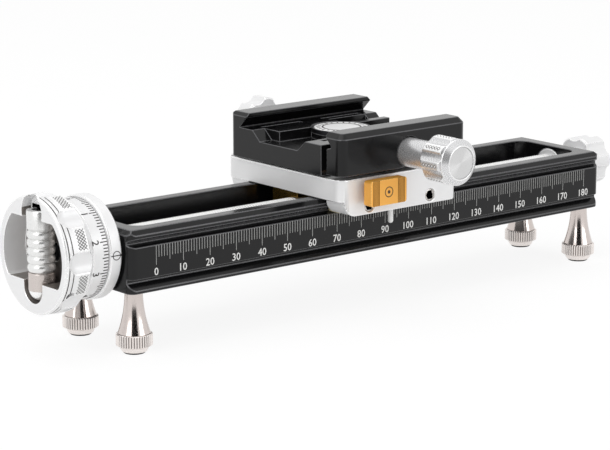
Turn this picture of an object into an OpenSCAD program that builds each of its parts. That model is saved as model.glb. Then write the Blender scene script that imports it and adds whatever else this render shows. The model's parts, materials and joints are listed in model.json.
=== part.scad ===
// Macro focusing rail. A folding crank in the hand wheel turns a lead screw of 1 mm pitch,
// which carries a carriage with a panning dovetail clamp along a dovetail rail on four feet.
// Millimetres. X runs along the rail to the lock knob, Y away from the ruled face, Z up.
// The origin is the tripod thread in the middle of the rail's underside.

/* [Rail] */
// Length of the rail body
rail_l = 197.2; // [190:0.1:260]
// Width of the rail body across its dovetail
rail_w = 38; // [37:0.1:44]
// Height of the rail body
rail_h = 19.15; // [18.5:0.05:24]
// Radius of the four upright corners
rail_corner_r = 2.5; // [2:0.1:6]
// Bevel along the rail's top edges
rail_bevel = 1.5; // [0.5:0.1:2]
// Thickness of each end wall
end_wall = 5.7; // [5:0.1:9]
// Thickness of each side wall
side_wall = 5.5; // [4.5:0.1:6]
// Inner corner radius of the open trough
trough_r = 4; // [1:0.1:5]
// Thickness of the trough's floor
floor_t = 5; // [4:0.1:5.5]
// Lower edge of the carriage's V groove above the underside
way_z = 14; // [13:0.1:14.3]
// Height of the V groove at the side face
way_h = 2.5; // [2.3:0.1:2.8]
// Depth of the V groove
way_d = 2; // [1.5:0.1:2.2]
// Lower edge of the tripod dovetail's flank
tail_z = 1; // [0.5:0.1:1.5]
// Height of the dovetail groove at the side face
tail_h = 3.3; // [3:0.1:4]
// Depth of the dovetail groove
tail_d = 2.1; // [1.5:0.1:2.3]
// Wall radius of the tripod thread
tripod_r = 4; // [3:0.05:4.8]

/* [Feet] */
// Distance of each foot's axis in from the rail's end
foot_in_x = 4.6; // [4.4:0.1:6]
// Distance of each foot's axis in from the rail's side
foot_in_y = 5; // [4.7:0.1:5.5]
// Overall height of a foot below the rail
foot_h = 18.9; // [14:0.1:26]
// Radius of the neck under the rail
foot_neck_r = 2.75; // [2.2:0.05:3.2]
// Radius where the neck meets the knurled ring
foot_flare_r = 4.95; // [4:0.05:5.3]
// Radius of the knurled ring
foot_ring_r = 5.55; // [5.4:0.05:7]
// Height of the knurled ring
foot_ring_h = 4.2; // [3:0.1:6]
// Radius of the rubber pad
pad_r = 2.6; // [2:0.05:3.4]
// Length of the pad
pad_h = 1.3; // [1:0.1:1.8]
// Radius of the threaded stud
stud_r = 1.5; // [1.2:0.05:1.7]
// Length of the stud in the rail
stud_l = 5.5; // [4:0.1:8]

/* [Drive] */
// Height of the lead screw's axis
axis_z = 12; // [11.5:0.1:12.2]
// Outer radius of the lead screw's thread
screw_r = 4.25; // [3.8:0.05:4.5]
// Radius of the screw's two journals
journal_r = 3.5; // [3:0.05:3.6]
// Radius of the screw's end inside the hand wheel
tail_end_r = 3; // [2.4:0.05:3]
// Outer radius of the two bearing bushes
bush_r = 6; // [5:0.05:6.2]
// Radius of the fixed index ring
ring_r = 15.9; // [14.5:0.1:16.5]
// Thickness of the index ring
ring_t = 4.1; // [3:0.1:6]
// Length of the spigot between ring and rail
spigot_l = 0.6; // [0.3:0.1:1.5]
// Radius of the graduated dial
dial_r = 15.3; // [14:0.1:16]
// Width of the graduated dial
dial_t = 5.6; // [4:0.1:8]
// Running gap between index ring and dial
dial_gap = 0.2; // [0.1:0.05:0.5]

/* [Hand wheel] */
// Outer radius of the hand wheel
wheel_r = 17.8; // [17:0.1:20]
// Width of the hand wheel
wheel_t = 11.1; // [10.9:0.1:15]
// Thickness of the web behind the crank's pocket
web_t = 3.2; // [2.4:0.1:3.2]
// Number of finger flutes
flutes = 8; // [6:1:9]
// Radius of each finger flute
flute_r = 5; // [4:0.1:6]
// Depth of each finger flute
flute_d = 1.5; // [0.8:0.1:1.6]
// Radius of the opening in the front face
opening_r = 15.3; // [14.6:0.1:15.4]
// Top of the opening above the axis
opening_top = 11; // [9:0.1:11.5]
// Bottom of the opening below the axis
opening_low = 8; // [6.8:0.1:8]
// Corner radius of the opening
opening_corner = 2; // [1:0.1:2.5]
// Width of the crank's slot
slot_w = 9.6; // [9.1:0.1:10.2]

/* [Crank] */
// Distance of the crank's pivot below the axis
pivot_drop = 10.1; // [9.6:0.1:10.2]
// Distance of the crank's axis behind the wheel's front face
crank_in = 3.2; // [3:0.1:3.3]
// Radius of the steel collar
collar_r = 4; // [3.6:0.05:4.1]
// Radius of the grip
grip_r = 4.2; // [3.8:0.05:4.3]
// Length of the grip
grip_l = 18.6; // [16:0.1:19]
// Number of ribs on the grip
ribs = 5; // [3:1:5]
// Pitch of the ribs
rib_pitch = 2.5; // [2.2:0.05:2.6]
// Radius of the crank's pivot pin
pin_r = 1.25; // [1:0.05:1.5]

/* [Lock knob] */
// Outer radius of the drive lock knob
lock_r = 8.5; // [8:0.1:10]
// Length of the drive lock knob
lock_l = 9.2; // [8:0.1:14]
// Length of the boss between rail and knob
boss_l = 7.3; // [5:0.1:10]
// Radius of the boss
boss_r = 5; // [4.5:0.1:6]

/* [Carriage] */
// Length of the carriage along the rail
car_l = 49.2; // [46:0.1:60]
// Width of the carriage across the rail
car_w = 56.8; // [56:0.1:60]
// Thickness of the carriage plate
car_t = 7.1; // [6.6:0.1:10]
// Middle of the carriage along the rail at rest
car_x = -1.2; // [-8:0.1:8]
// Gap between the rail's top and the plate
car_gap = 0.15; // [0.1:0.05:0.4]
// Gap between the rail's side and each apron
apron_gap = 0.3; // [0.2:0.05:0.4]
// Depth of the aprons below the plate
apron_h = 4.8; // [4.5:0.1:5]
// Radius of the plate's upright corners
car_corner_r = 3.2; // [2:0.1:4]
// Length of each gib strip
gib_l = 40; // [34:0.1:40]
// Distance between the gib set screws
gib_pitch = 25.4; // [20:0.1:30]
// Radius of the index pointer pin
pointer_r = 0.85; // [0.6:0.05:1]

/* [Release button] */
// Width of the button along the rail
button_w = 14.7; // [12:0.1:16]
// Height of the button
button_h = 8; // [7:0.1:8.4]
// Thickness of the button
button_t = 3.4; // [2.8:0.1:5]
// Middle of the button from the carriage's middle
button_off = -9.45; // [-10.5:0.05:-9.4]
// Travel of the button
button_stroke = 1.7; // [1.2:0.1:1.8]
// Width of the release slider bar
bar_w = 6; // [5:0.1:6.1]
// Height of the release slider bar
bar_h = 3; // [2.6:0.1:3.2]
// Length of the half nut
nut_l = 22.7; // [18:0.1:23]

/* [Clamp] */
// Length of both clamp jaws
clamp_l = 52.4; // [50:0.1:60]
// Distance of the base's front face from the pan axis
base_front = 20.9; // [20.5:0.1:22]
// Distance of the base's rear face from the pan axis
base_rear = 24.4; // [24:0.1:26]
// Height of the carriage gap, which is the slip washer's thickness
washer_t = 0.6; // [0.4:0.1:1]
// Height of the rear jaw above the carriage
base_h = 15.2; // [14.8:0.1:17]
// Height of the seat above the carriage
seat_h = 10.3; // [10.2:0.1:10.4]
// Distance of the rear jaw's nose from the pan axis
nose_y = 16; // [15.5:0.1:17]
// Bevel on the rear jaw's top edges
base_bevel = 1.2; // [0.5:0.1:1.5]
// Thickness of the moving jaw
jaw_t = 7; // [6.6:0.1:9]
// Height of the moving jaw
jaw_h = 13.2; // [13:0.1:14.5]
// Gap between the moving jaw and the base at rest
jaw_gap = 2.6; // [2.5:0.1:3.5]
// Bevel on the moving jaw's top edges
jaw_bevel = 1.7; // [0.5:0.1:2]
// Radius of the pan pivot post
post_r = 6; // [5:0.1:6.2]
// Radius of the pale disc on the post
disc_r = 9; // [8.2:0.1:9.1]
// Radius of the dark ring round the disc
disc_ring_r = 9.7; // [9.5:0.05:10.2]

/* [Clamp knobs] */
// Outer radius of the clamp knob
knob_r = 7.35; // [6.5:0.05:7.4]
// Length of the clamp knob
knob_l = 11.5; // [9:0.1:14]
// Radius of the knobs' hubs
hub_r = 4.6; // [3.6:0.1:4.8]
// Height of both knob axes above the carriage
knob_z = 6.25; // [6:0.05:6.3]
// Distance of the clamp knob's axis from the pan axis
knob_x = 1.6; // [0:0.1:3]
// Length of the clamp knob's hub
hub_l = 12.5; // [12:0.1:16]
// Length of the pan lock knob's hub
pan_hub_l = 14.1; // [14:0.1:18]
// Number of flutes on the clamp knob
knob_flutes = 8; // [6:1:9]
// Outer radius of the pan lock knob
pan_knob_r = 8.4; // [7:0.1:8.6]
// Length of the pan lock knob
pan_knob_l = 6.6; // [6:0.1:9]
// Number of lobes on the pan lock and drive lock knobs
lobes = 6; // [5:1:8]

/* [Hidden] */
$fn = 96;

// Clearances
fit = 0.05;
seat = 0.02;
over = 1;

// Rail
rail_x = rail_l / 2;
rail_y = rail_w / 2;
trough_x = rail_x - end_wall;
trough_y = rail_y - side_wall;
foot_x = rail_x - foot_in_x;
foot_y = rail_y - foot_in_y;

// Left end, from the rail outwards
ring_in = -rail_x - spigot_l;
ring_out = ring_in - ring_t;
dial_in = ring_out - dial_gap;
wheel_back = dial_in - dial_t;
wheel_front = wheel_back - wheel_t;
web_x = wheel_back - web_t;
flange_t = 1.5;
flange_r = bush_r + 0.8;
ring_bore_r = flange_r + 0.25;
wheel_hub_end = -rail_x - flange_t - 0.1;
screw_end = wheel_back - 1.4;
wheel_screw_head_r = 2.8;
wheel_screw_head_t = 1.35;
wheel_screw_r = 1.45;
wheel_screw_l = 9;
ring_screw_y = 10.5;
ring_screw_r = 1.25;
ring_screw_head_r = 2.3;
ring_screw_l = 9.2;

// Crank, folded upright in the wheel
crank_x = wheel_front + crank_in;
pivot_z = axis_z - pivot_drop;
collar_l = 4.9;
collar_top = pivot_z + collar_l;
grip_low = collar_top + 0.1;
grip_top = grip_low + grip_l;
rib_r = grip_r + 0.05;
rib_root_r = grip_r - 0.4;
rib_first = 1.2;
grip_screw_r = 1.5;
grip_bore_depth = 3;
grip_bore_r = 2.5;
grip_head_r = 2.3;
grip_head_t = 1.4;
slot_low = pivot_drop + collar_r + 0.4;
slot_top = grip_top - axis_z + 0.9;
scoop_depth = 3.7;
corner_ease = 0.05;
scoop_r = slot_w / 2 + 0.5;
first_flute = 45;
ear_r = wheel_r - flute_d;

// Right end, from the rail outwards
boss_out = rail_x + boss_l;
lock_in = boss_out + 0.2;
lock_out = lock_in + lock_l;
journal_end = rail_x - 2.4;
lock_stud_r = 2.5;
plug_t = 1.2;
plug_gap = 0.25;

// Carriage
plate_z = rail_h + car_gap;
car_top = plate_z + car_t;
car_left = car_x - car_l / 2;
car_right = car_x + car_l / 2;
car_y = car_w / 2;
apron_y = rail_y + apron_gap;
apron_z = plate_z - apron_h;
apron_left = car_left + 1.8;
apron_left_r = 4.5;
apron_right_r = 1;
gib_t = 3;
gib_back = apron_y + gib_t;
gib_top = plate_z - 0.6;
gib_low = apron_z + 0.2;
gib_play = 0.15;
gib_screw_r = 2;
gib_screw_z = gib_top - gib_screw_r + 0.45;
hex_r = 1.45;
hex_depth = 2;
pointer_y = (apron_y + car_y) / 2;
pointer_low = 9.1;
pointer_top = apron_z + 3.2;

// Release slider
button_x = car_x + button_off;
button_back = car_y + button_stroke + 0.2;
button_front = button_back + button_t;
button_low = car_top - 0.5 - button_h;
button_corner_r = 0.9;
bar_z = plate_z + 0.7;
bar_front = button_back + 1.5;
bar_rear = 9.5;
nut_top = plate_z - 0.4;
nut_low = 7;
nut_y = bar_rear;
nut_lip = 3.2;
nut_x0 = button_x - nut_l / 2;
nut_screw_r = 1;
nut_screw_head_r = 1.9;
nut_screw_head_t = 1.1;
nut_screw_l = 6.6;

// Clamp
base_z = car_top + washer_t;
base_top = car_top + base_h;
seat_z = car_top + seat_h;
clamp_x0 = car_x - clamp_l / 2;
clamp_x1 = car_x + clamp_l / 2;
nose_h = 1.3;
undercut_z = seat_z + 0.2;
channel_z = seat_z - 3.3;
channel_half = 9.3;
channel_mouth_half = 13.2;
channel_mouth_l = 5;
island_r = disc_ring_r;
bridge_half = 5.5;
channel_rear = 5.4;
tongue_end = 22.7;
tongue_front = 2.4;
tongue_rear = 5.2;
pocket_y = 14;
pocket_w = 1.8;
pocket_l = 16;
pocket_d = 1.5;
land_slot_y = -16;
land_slot_w = 1.8;
land_slot_l = 15;
land_slot_off = -21;
pocket_off = 12.4;
washer_r = 20;
head_t = 1.3;
head_z = seat_z - 0.1;
counterbore_z = head_z - head_t - fit;
post_spigot_r = 5;
post_spigot_l = 4;
pivot_screw_r = 2;
pivot_screw_head_r = 4;
pivot_screw_head_t = 2.2;
pivot_screw_l = 11;

// Moving jaw
jaw_back = -base_front - jaw_gap;
jaw_front = jaw_back - jaw_t;
jaw_z = car_top + 1.5;
jaw_top = jaw_z + jaw_h;
jaw_nose = jaw_back + 0.9;
jaw_nose_h = 1.2;
jaw_corner_r = 2.8;
guide_r = 1.5;
guide_off = 18;
guide_z = car_top + 5.1;
guide_in_base = 7;
guide_bore_depth = 6.1;

// Knob bodies, the cuts as shares of the knob's radius
flute_cut_share = 0.34;
flute_depth_share = 0.11;
lobe_cut_share = 0.46;
lobe_depth_share = 0.18;
lip_l = 2;
cap_sink = 0.9;
cap_t = 0.6;

// Clamp knobs
knob_axis_z = car_top + knob_z;
knob_axis_x = car_x + knob_x;
knob_seat_d = 1.5;
knob_seat_r = hub_r + 0.4;
knob_cap_r = knob_r - 2.35;
knob_first_flute = 29;
pan_cap_r = 5;
pan_first_flute = 9;
lock_cap_r = 5.6;
lock_first_flute = -4.5;
knob_back = jaw_front - hub_l;
clamp_screw_r = 2.5;
clamp_screw_end = -12.1;
pan_knob_back = base_rear + pan_hub_l;
shoe_r = 2;
shoe_y = post_r + 0.35;
shoe_l = 3;
shoe_step = 0.15;

// Local +Z of the children points along +X, at the lead screw's height
module along_x(x) {
  translate([x, 0, axis_z])
    rotate([0, 90, 0]) children();
}

// Local +Z of the children points along +Y
module along_y(x, y, z) {
  translate([x, y, z])
    rotate([-90, 0, 0]) children();
}

// Extrudes a (y, z) profile from x0 to x1
module prism_x(x0, x1) {
  translate([x0, 0, 0])
    rotate([90, 0, 90])
      linear_extrude(x1 - x0) children();
}

// Extrudes an (x, z) profile from y0 to y1
module prism_y(y0, y1) {
  translate([0, y1, 0])
    rotate([90, 0, 0])
      linear_extrude(y1 - y0) children();
}

// Flat rectangle with four round corners
module round_rect(x0, x1, y0, y1, r) {
  translate([x0 + r, y0])
    square([x1 - x0 - 2 * r, y1 - y0]);
  translate([x0, y0 + r])
    square([x1 - x0, y1 - y0 - 2 * r]);
  for (x = [x0 + r, x1 - r], y = [y0 + r, y1 - r])
    translate([x, y]) circle(r);
}

// Rectangle with both top corners bevelled
module bevel_rect(a0, a1, b0, b1, c) {
  polygon([[a0, b0], [a1, b0], [a1, b1 - c], [a1 - c, b1], [a0 + c, b1], [a0, b1 - c]]);
}

// Turned shape with small bevels at both ends
module turned(r, l, c) {
  rotate_extrude()
    polygon([[0, 0], [r - c, 0], [r, c], [r, l - c], [r - c, l], [0, l]]);
}

// Countersunk screw with its head's face at z = 0 and its shank along +Z
module flat_screw(head_r, head_t, r, l) {
  difference() {
    rotate_extrude()
      polygon([[0, 0], [head_r, 0], [head_r, 0.2], [r, head_t], [r, l - 0.3], [r - 0.3, l], [0, l]]);
    translate([0, 0, -over])
      cylinder(r = r * 0.6, h = over + head_t * 0.7, $fn = 6);
  }
}

// Clearance for the same screw, with a plain hole past its head
module flat_screw_seat(head_r, head_t, r, l) {
  rotate_extrude()
    polygon([[0, -over], [head_r + seat, -over], [head_r + seat, 0.2 + seat], [r + seat, head_t + seat],
      [r + seat, l], [0, l]]);
}

// Fluted knob body from z = 0 to z = l with a groove, a conical lip and a sunk end
module fluted_body(r, l, n, turn, sink_r) {
  cut_r = r * flute_cut_share;
  cut_d = r * flute_depth_share;
  lip_z = l - lip_l;
  difference() {
    rotate_extrude()
      polygon([[0, 0], [r - 0.7, 0], [r, 0.7], [r, lip_z - 0.9], [r - 0.9, lip_z - 0.2],
        [r - 0.9, lip_z], [r - 0.15, lip_z + 0.15], [r - 0.1, lip_z + 0.5],
        [sink_r + 0.35, l], [0, l]]);
    for (k = [0:n - 1])
      rotate([0, 0, turn + 360 / n * k])
        translate([r - cut_d + cut_r, 0, -over])
          cylinder(r = cut_r, h = lip_z - 0.1 + over);
    translate([0, 0, l - cap_sink])
      cylinder(r = sink_r + seat, h = over + cap_sink);
  }
}

// Lobed knob body from z = 0 to z = l with flutes right through and a sunk end
module lobed_body(r, l, n, turn, sink_r) {
  cut_r = r * lobe_cut_share;
  cut_d = r * lobe_depth_share;
  difference() {
    turned(r, l, 0.5);
    for (k = [0:n - 1])
      rotate([0, 0, turn + 360 / n * k])
        translate([r - cut_d + cut_r, 0, -over])
          cylinder(r = cut_r, h = l + 2 * over);
    translate([0, 0, l - cap_sink])
      cylinder(r = sink_r + seat, h = over + cap_sink);
  }
}

module rail_frame() {
  color("#1d1d1f")
    difference() {
      intersection() {
        linear_extrude(rail_h)
          round_rect(-rail_x, rail_x, -rail_y, rail_y, rail_corner_r);
        prism_x(-rail_x, rail_x)
          bevel_rect(-rail_y, rail_y, 0, rail_h, rail_bevel);
        prism_y(-rail_y, rail_y)
          bevel_rect(-rail_x, rail_x, 0, rail_h, rail_bevel);
      }
      translate([0, 0, floor_t])
        linear_extrude(rail_h)
          round_rect(-trough_x, trough_x, -trough_y, trough_y, trough_r);
      for (s = [-1, 1])
        prism_x(-rail_x - over, rail_x + over) {
          polygon([[s * (rail_y + over), way_z], [s * rail_y, way_z],
            [s * (rail_y - way_d), way_z + way_h * 0.34], [s * (rail_y - way_d), way_z + way_h * 0.66],
            [s * rail_y, way_z + way_h], [s * (rail_y + over), way_z + way_h]]);
          polygon([[s * (rail_y + over), tail_z], [s * rail_y, tail_z],
            [s * (rail_y - tail_d), tail_z + tail_d], [s * (rail_y - tail_d), tail_z + tail_h],
            [s * (rail_y + over), tail_z + tail_h]]);
        }
      translate([0, 0, -over])
        cylinder(r = tripod_r, h = floor_t + 2 * over);
      along_x(-rail_x - over)
        cylinder(r = bush_r + seat, h = end_wall + 2 * over);
      along_x(trough_x - over)
        cylinder(r = bush_r + seat, h = end_wall + 2 * over);
      for (y = [-ring_screw_y, ring_screw_y])
        translate([0, y, 0])
          along_x(-rail_x - over)
            cylinder(r = ring_screw_r + seat, h = ring_screw_l + over - ring_t - spigot_l + 0.5);
      for (x = [-foot_x, foot_x], y = [-foot_y, foot_y])
        translate([x, y, -over])
          cylinder(r = stud_r + seat, h = stud_l + over + 0.5);
    }
}

module left_bearing_bush() {
  color("#a8864a")
    along_x(-rail_x)
      difference() {
        union() {
          cylinder(r = bush_r, h = end_wall);
          translate([0, 0, -flange_t])
            cylinder(r = flange_r, h = flange_t);
        }
        translate([0, 0, -flange_t - over])
          cylinder(r = journal_r + fit, h = end_wall + flange_t + 2 * over);
      }
}

module right_bearing_boss() {
  color("#c9c9c7")
    along_x(trough_x)
      difference() {
        union() {
          cylinder(r = bush_r, h = end_wall);
          translate([0, 0, end_wall])
            turned(boss_r, boss_l, 0.4);
        }
        translate([0, 0, -over])
          cylinder(r = journal_r + fit, h = over + journal_end - trough_x + plug_gap + plug_t);
        translate([0, 0, -over])
          cylinder(r = lock_stud_r + fit, h = end_wall + boss_l + 2 * over);
      }
}

module index_ring() {
  color("#d9dadb")
    difference() {
      union() {
        along_x(ring_out)
          turned(ring_r, ring_t, 0.35);
        along_x(ring_in)
          cylinder(r = ring_r - 1.9, h = spigot_l);
      }
      along_x(ring_out - over)
        cylinder(r = ring_bore_r, h = ring_t + spigot_l + 2 * over);
      for (y = [-ring_screw_y, ring_screw_y])
        translate([0, y, 0])
          along_x(ring_out)
            flat_screw_seat(ring_screw_head_r, 1.2, ring_screw_r, ring_t + spigot_l + over);
    }
}

module index_ring_screws() {
  color("#55565a")
    for (y = [-ring_screw_y, ring_screw_y])
      translate([0, y, 0])
        along_x(ring_out)
          flat_screw(ring_screw_head_r, 1.2, ring_screw_r, ring_screw_l);
}

// One foot: stud, hollow flared neck and knurled ring; s and t pick the corner
module foot(s, t) {
  ring_low = foot_h - 2;
  ring_high = ring_low - foot_ring_h;
  flare = foot_flare_r - foot_neck_r;
  bow = (ring_high * ring_high + flare * flare) / (2 * flare);
  color("#b3aca6")
    translate([s * foot_x, t * foot_y, 0])
      difference() {
        union() {
          cylinder(r = stud_r, h = stud_l);
          rotate_extrude()
            difference() {
              translate([0, -ring_high])
                square([foot_flare_r, ring_high]);
              translate([foot_neck_r + bow, 0])
                circle(bow, $fn = 400);
            }
          rotate_extrude()
            polygon([[0, -ring_high + 0.05], [foot_flare_r - 0.45, -ring_high + 0.05],
              [foot_flare_r - 0.45, -ring_high - 0.15], [foot_ring_r - 0.3, -ring_high - 0.15],
              [foot_ring_r, -ring_high - 0.45], [foot_ring_r, -ring_low],
              [foot_ring_r - 1.4, -ring_low - 0.9], [pad_r + 0.5, -foot_h + 0.3],
              [0, -foot_h + 0.3]]);
        }
        translate([0, 0, -foot_h - over])
          cylinder(r = pad_r + seat, h = pad_h + over);
      }
}

module pad(s, t) {
  color("#1a1a1a")
    translate([s * foot_x, t * foot_y, -foot_h])
      cylinder(r = pad_r, h = pad_h);
}

module lead_screw() {
  color("#9a9b9d")
    difference() {
      union() {
        along_x(screw_end)
          turned(tail_end_r, -rail_x - screw_end, 0.3);
        along_x(wheel_hub_end - seat)
          cylinder(r = journal_r, h = -trough_x - wheel_hub_end + 0.2);
        along_x(-trough_x + 0.1)
          turned(screw_r, 2 * trough_x - 0.2, 0.4);
        along_x(trough_x - 0.2)
          turned(journal_r, journal_end - trough_x + 0.2, 0.3);
      }
      along_x(screw_end - over)
        cylinder(r = wheel_screw_r + seat, h = wheel_screw_l + over);
    }
}

// Rounds one corner of the opening: h is the chord's height, s the side
module opening_corner_fill(h, s) {
  dir = h > 0 ? 1 : -1;
  cz = h - dir * opening_corner;
  cy = sqrt(pow(opening_r - opening_corner, 2) - cz * cz);
  k = opening_r / (opening_r - opening_corner) + 0.04;
  difference() {
    polygon([[s * cy, cz], [s * cy, h + dir * 0.4], [s * cy * k, h + dir * 0.4], [s * cy * k, cz * k]]);
    translate([s * cy, cz]) circle(opening_corner + corner_ease);
  }
}

module opening_2d() {
  difference() {
    intersection() {
      circle(opening_r);
      translate([-opening_r, -opening_low])
        square([2 * opening_r, opening_low + opening_top]);
    }
    for (s = [-1, 1]) {
      opening_corner_fill(opening_top, s);
      opening_corner_fill(-opening_low, s);
    }
  }
}

module hand_wheel() {
  color("#d4d5d6")
    difference() {
      union() {
        along_x(wheel_front)
          rotate_extrude()
            polygon([[0, 0], [wheel_r - 0.4, 0], [wheel_r, 0.5], [wheel_r, wheel_t - 2.7],
              [dial_r, wheel_t], [0, wheel_t]]);
        along_x(wheel_back)
          cylinder(r = bush_r, h = wheel_hub_end - wheel_back);
      }
      for (k = [0:flutes - 1])
        along_x(wheel_front + 4.4)
          rotate([0, 0, 270 - first_flute - 360 / flutes * k])
            translate([wheel_r - flute_d + flute_r, 0, 0]) {
              cylinder(r = flute_r, h = wheel_t);
              sphere(flute_r);
            }
      translate([0, 0, axis_z])
        prism_x(wheel_front - over, web_x) {
          opening_2d();
          translate([-slot_w / 2, -slot_low + slot_w / 2])
            square([slot_w, slot_low - slot_w / 2 + slot_top]);
          translate([0, -slot_low + slot_w / 2])
            circle(slot_w / 2);
        }
      along_x(wheel_front - over)
        translate([-wheel_r + scoop_r - 0.4, 0, 0])
          cylinder(r = scoop_r, h = scoop_depth + over);
      along_y(crank_x, -wheel_r, pivot_z)
        cylinder(r = pin_r + seat, h = 2 * wheel_r, $fn = 48);
      along_x(screw_end - seat)
        cylinder(r = tail_end_r + seat, h = wheel_hub_end - screw_end + over);
      along_x(web_x)
        flat_screw_seat(wheel_screw_head_r, wheel_screw_head_t, wheel_screw_r, web_t);
    }
}

module dial_ring() {
  color("#dcdddd")
    difference() {
      along_x(wheel_back)
        turned(dial_r, dial_t, 0.2);
      along_x(wheel_back - over)
        cylinder(r = bush_r + seat, h = dial_t + 2 * over);
    }
}

module wheel_screw() {
  color("#4a4b4f")
    along_x(web_x)
      flat_screw(wheel_screw_head_r, wheel_screw_head_t, wheel_screw_r, wheel_screw_l);
}

module crank_pivot_pin() {
  pin_half = sqrt(ear_r * ear_r - pivot_drop * pivot_drop) - 0.6;
  color("#8a8a8a")
    along_y(crank_x, -pin_half, pivot_z)
      cylinder(r = pin_r, h = 2 * pin_half, $fn = 48);
}

module crank_arm() {
  color("#b8b2ab")
    difference() {
      translate([crank_x, 0, pivot_z]) {
        translate([0, 0, -0.7])
          turned(collar_r, collar_l + 0.7, 0.25);
        sphere(collar_r - 0.05);
      }
      along_y(crank_x, -slot_w, pivot_z)
        cylinder(r = pin_r + fit, h = 2 * slot_w, $fn = 48);
      translate([crank_x, 0, pivot_z + pin_r + 0.5])
        cylinder(r = grip_screw_r + seat, h = collar_l);
    }
}

module crank_grip() {
  top = grip_l;
  rib_top = rib_first + (ribs - 1) * rib_pitch + 1;
  color("#cfcfcd")
    translate([crank_x, 0, grip_low])
      difference() {
        rotate_extrude()
          polygon(concat([[0, 0], [rib_root_r, 0]],
            [for (k = [0:ribs - 1], p = [[-0.95, 0], [-0.55, 1], [0.55, 1], [0.95, 0]])
              [rib_root_r + (rib_r - rib_root_r) * p[1], rib_first + k * rib_pitch + p[0]]],
            [[rib_root_r, rib_top + 0.4], [grip_r, rib_top + 0.8], [grip_r, top - 0.3],
              [grip_r - 0.3, top], [0, top]]));
        translate([0, 0, -over])
          cylinder(r = grip_screw_r + fit, h = top + 2 * over);
        translate([0, 0, top - grip_bore_depth])
          cylinder(r = grip_bore_r, h = grip_bore_depth + over);
      }
}

module crank_grip_screw() {
  low = pivot_z + pin_r + 0.55;
  head_low = grip_top - grip_bore_depth + 0.05;
  color("#6c6d70")
    translate([crank_x, 0, 0])
      difference() {
        union() {
          translate([0, 0, low])
            cylinder(r = grip_screw_r, h = head_low - low + 0.1);
          translate([0, 0, head_low])
            turned(grip_head_r, grip_head_t, 0.2);
        }
        translate([0, 0, head_low + 0.5])
          cylinder(r = 1.2, h = grip_head_t, $fn = 6);
      }
}

module drive_lock_knob() {
  color("#d0d1d2")
    along_x(lock_in)
      difference() {
        lobed_body(lock_r, lock_l, lobes, lock_first_flute, lock_cap_r);
        translate([0, 0, -over])
          cylinder(r = lock_stud_r + seat, h = lock_l * 0.6 + over);
      }
}

module drive_lock_cap() {
  color("#e2e3e3")
    along_x(lock_out - cap_sink)
      turned(lock_cap_r, cap_t, 0.1);
}

module drive_lock_stud() {
  low = journal_end + plug_gap + plug_t;
  color("#77787a")
    along_x(low)
      turned(lock_stud_r, lock_in + lock_l * 0.6 - low, 0.3);
}

module drive_lock_plug() {
  color("#b08d4a")
    along_x(journal_end + plug_gap)
      cylinder(r = journal_r - fit, h = plug_t);
}

module carriage_plate() {
  color("#e6e7e8")
    difference() {
      intersection() {
        translate([0, 0, apron_z])
          linear_extrude(car_top - apron_z)
            round_rect(car_left, car_right, -car_y, car_y, car_corner_r);
        union() {
          prism_x(car_left, car_right)
            translate([0, plate_z])
              bevel_rect(-car_y, car_y, 0, car_t, 0.35);
          for (s = [-1, 1])
            prism_y(s > 0 ? apron_y : -car_y, s > 0 ? car_y : -apron_y)
              difference() {
                translate([apron_left, apron_z])
                  square([car_right - apron_left, apron_h + over]);
                difference() {
                  translate([apron_left - over, apron_z - over])
                    square(apron_left_r + over);
                  translate([apron_left + apron_left_r, apron_z + apron_left_r])
                    circle(apron_left_r);
                }
                difference() {
                  translate([car_right - apron_right_r, apron_z - over])
                    square(apron_right_r + over);
                  translate([car_right - apron_right_r, apron_z + apron_right_r])
                    circle(apron_right_r);
                }
              }
        }
        prism_y(-car_y, car_y)
          bevel_rect(car_left, car_right, apron_z, car_top, 0.35);
      }
      for (s = [-1, 1])
        translate([car_x - gib_l / 2 - seat, s > 0 ? apron_y - over : -gib_back - seat, apron_z - over])
          cube([gib_l + 2 * seat, gib_t + over + seat, gib_top - apron_z + over + seat]);
      for (x = [-gib_pitch / 2, gib_pitch / 2])
        along_y(car_x + x, -car_y - over, gib_screw_z)
          cylinder(r = gib_screw_r + seat, h = car_y - gib_back + 2 * over);
      translate([car_x, -pointer_y, apron_z - over])
        cylinder(r = pointer_r + seat, h = pointer_top - apron_z + over);
      translate([button_x - bar_w / 2 - 0.15, -car_y - over, bar_z - 0.12])
        cube([bar_w + 0.3, car_y + over, bar_h + 0.24]);
      translate([button_x - bar_w / 2 - 0.15, -rail_y - apron_gap, plate_z - over])
        cube([bar_w + 0.3, rail_y + apron_gap + bar_rear + button_stroke + 0.4, bar_z + bar_h + 0.12 - plate_z + over]);
      translate([car_x, 0, car_top - post_spigot_l])
        cylinder(r = post_spigot_r + seat, h = post_spigot_l + over);
      translate([car_x, 0, plate_z])
        flat_screw_seat(pivot_screw_head_r, pivot_screw_head_t, pivot_screw_r, car_t);
    }
}

// V strip between apron and rail groove; s is the side
module gib(s) {
  color("#c9b27a")
    prism_x(car_x - gib_l / 2, car_x + gib_l / 2)
      polygon([[s * gib_back, gib_low], [s * gib_back, gib_top], [s * (rail_y + gib_play), gib_top],
        [s * (rail_y + gib_play), way_z + way_h - 0.05],
        [s * (rail_y - way_d + gib_play), way_z + way_h * 0.66 - 0.1],
        [s * (rail_y - way_d + gib_play), way_z + way_h * 0.34 + 0.12],
        [s * (rail_y - way_d + gib_play + 0.35), gib_low]]);
}

module gib_set_screws() {
  color("#8d8d90")
    for (x = [-gib_pitch / 2, gib_pitch / 2])
      along_y(car_x + x, -car_y + 0.3, gib_screw_z)
        difference() {
          turned(gib_screw_r, car_y - 0.3 - gib_back, 0.3);
          translate([0, 0, -over])
            cylinder(r = hex_r, h = hex_depth + over, $fn = 6);
        }
}

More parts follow.
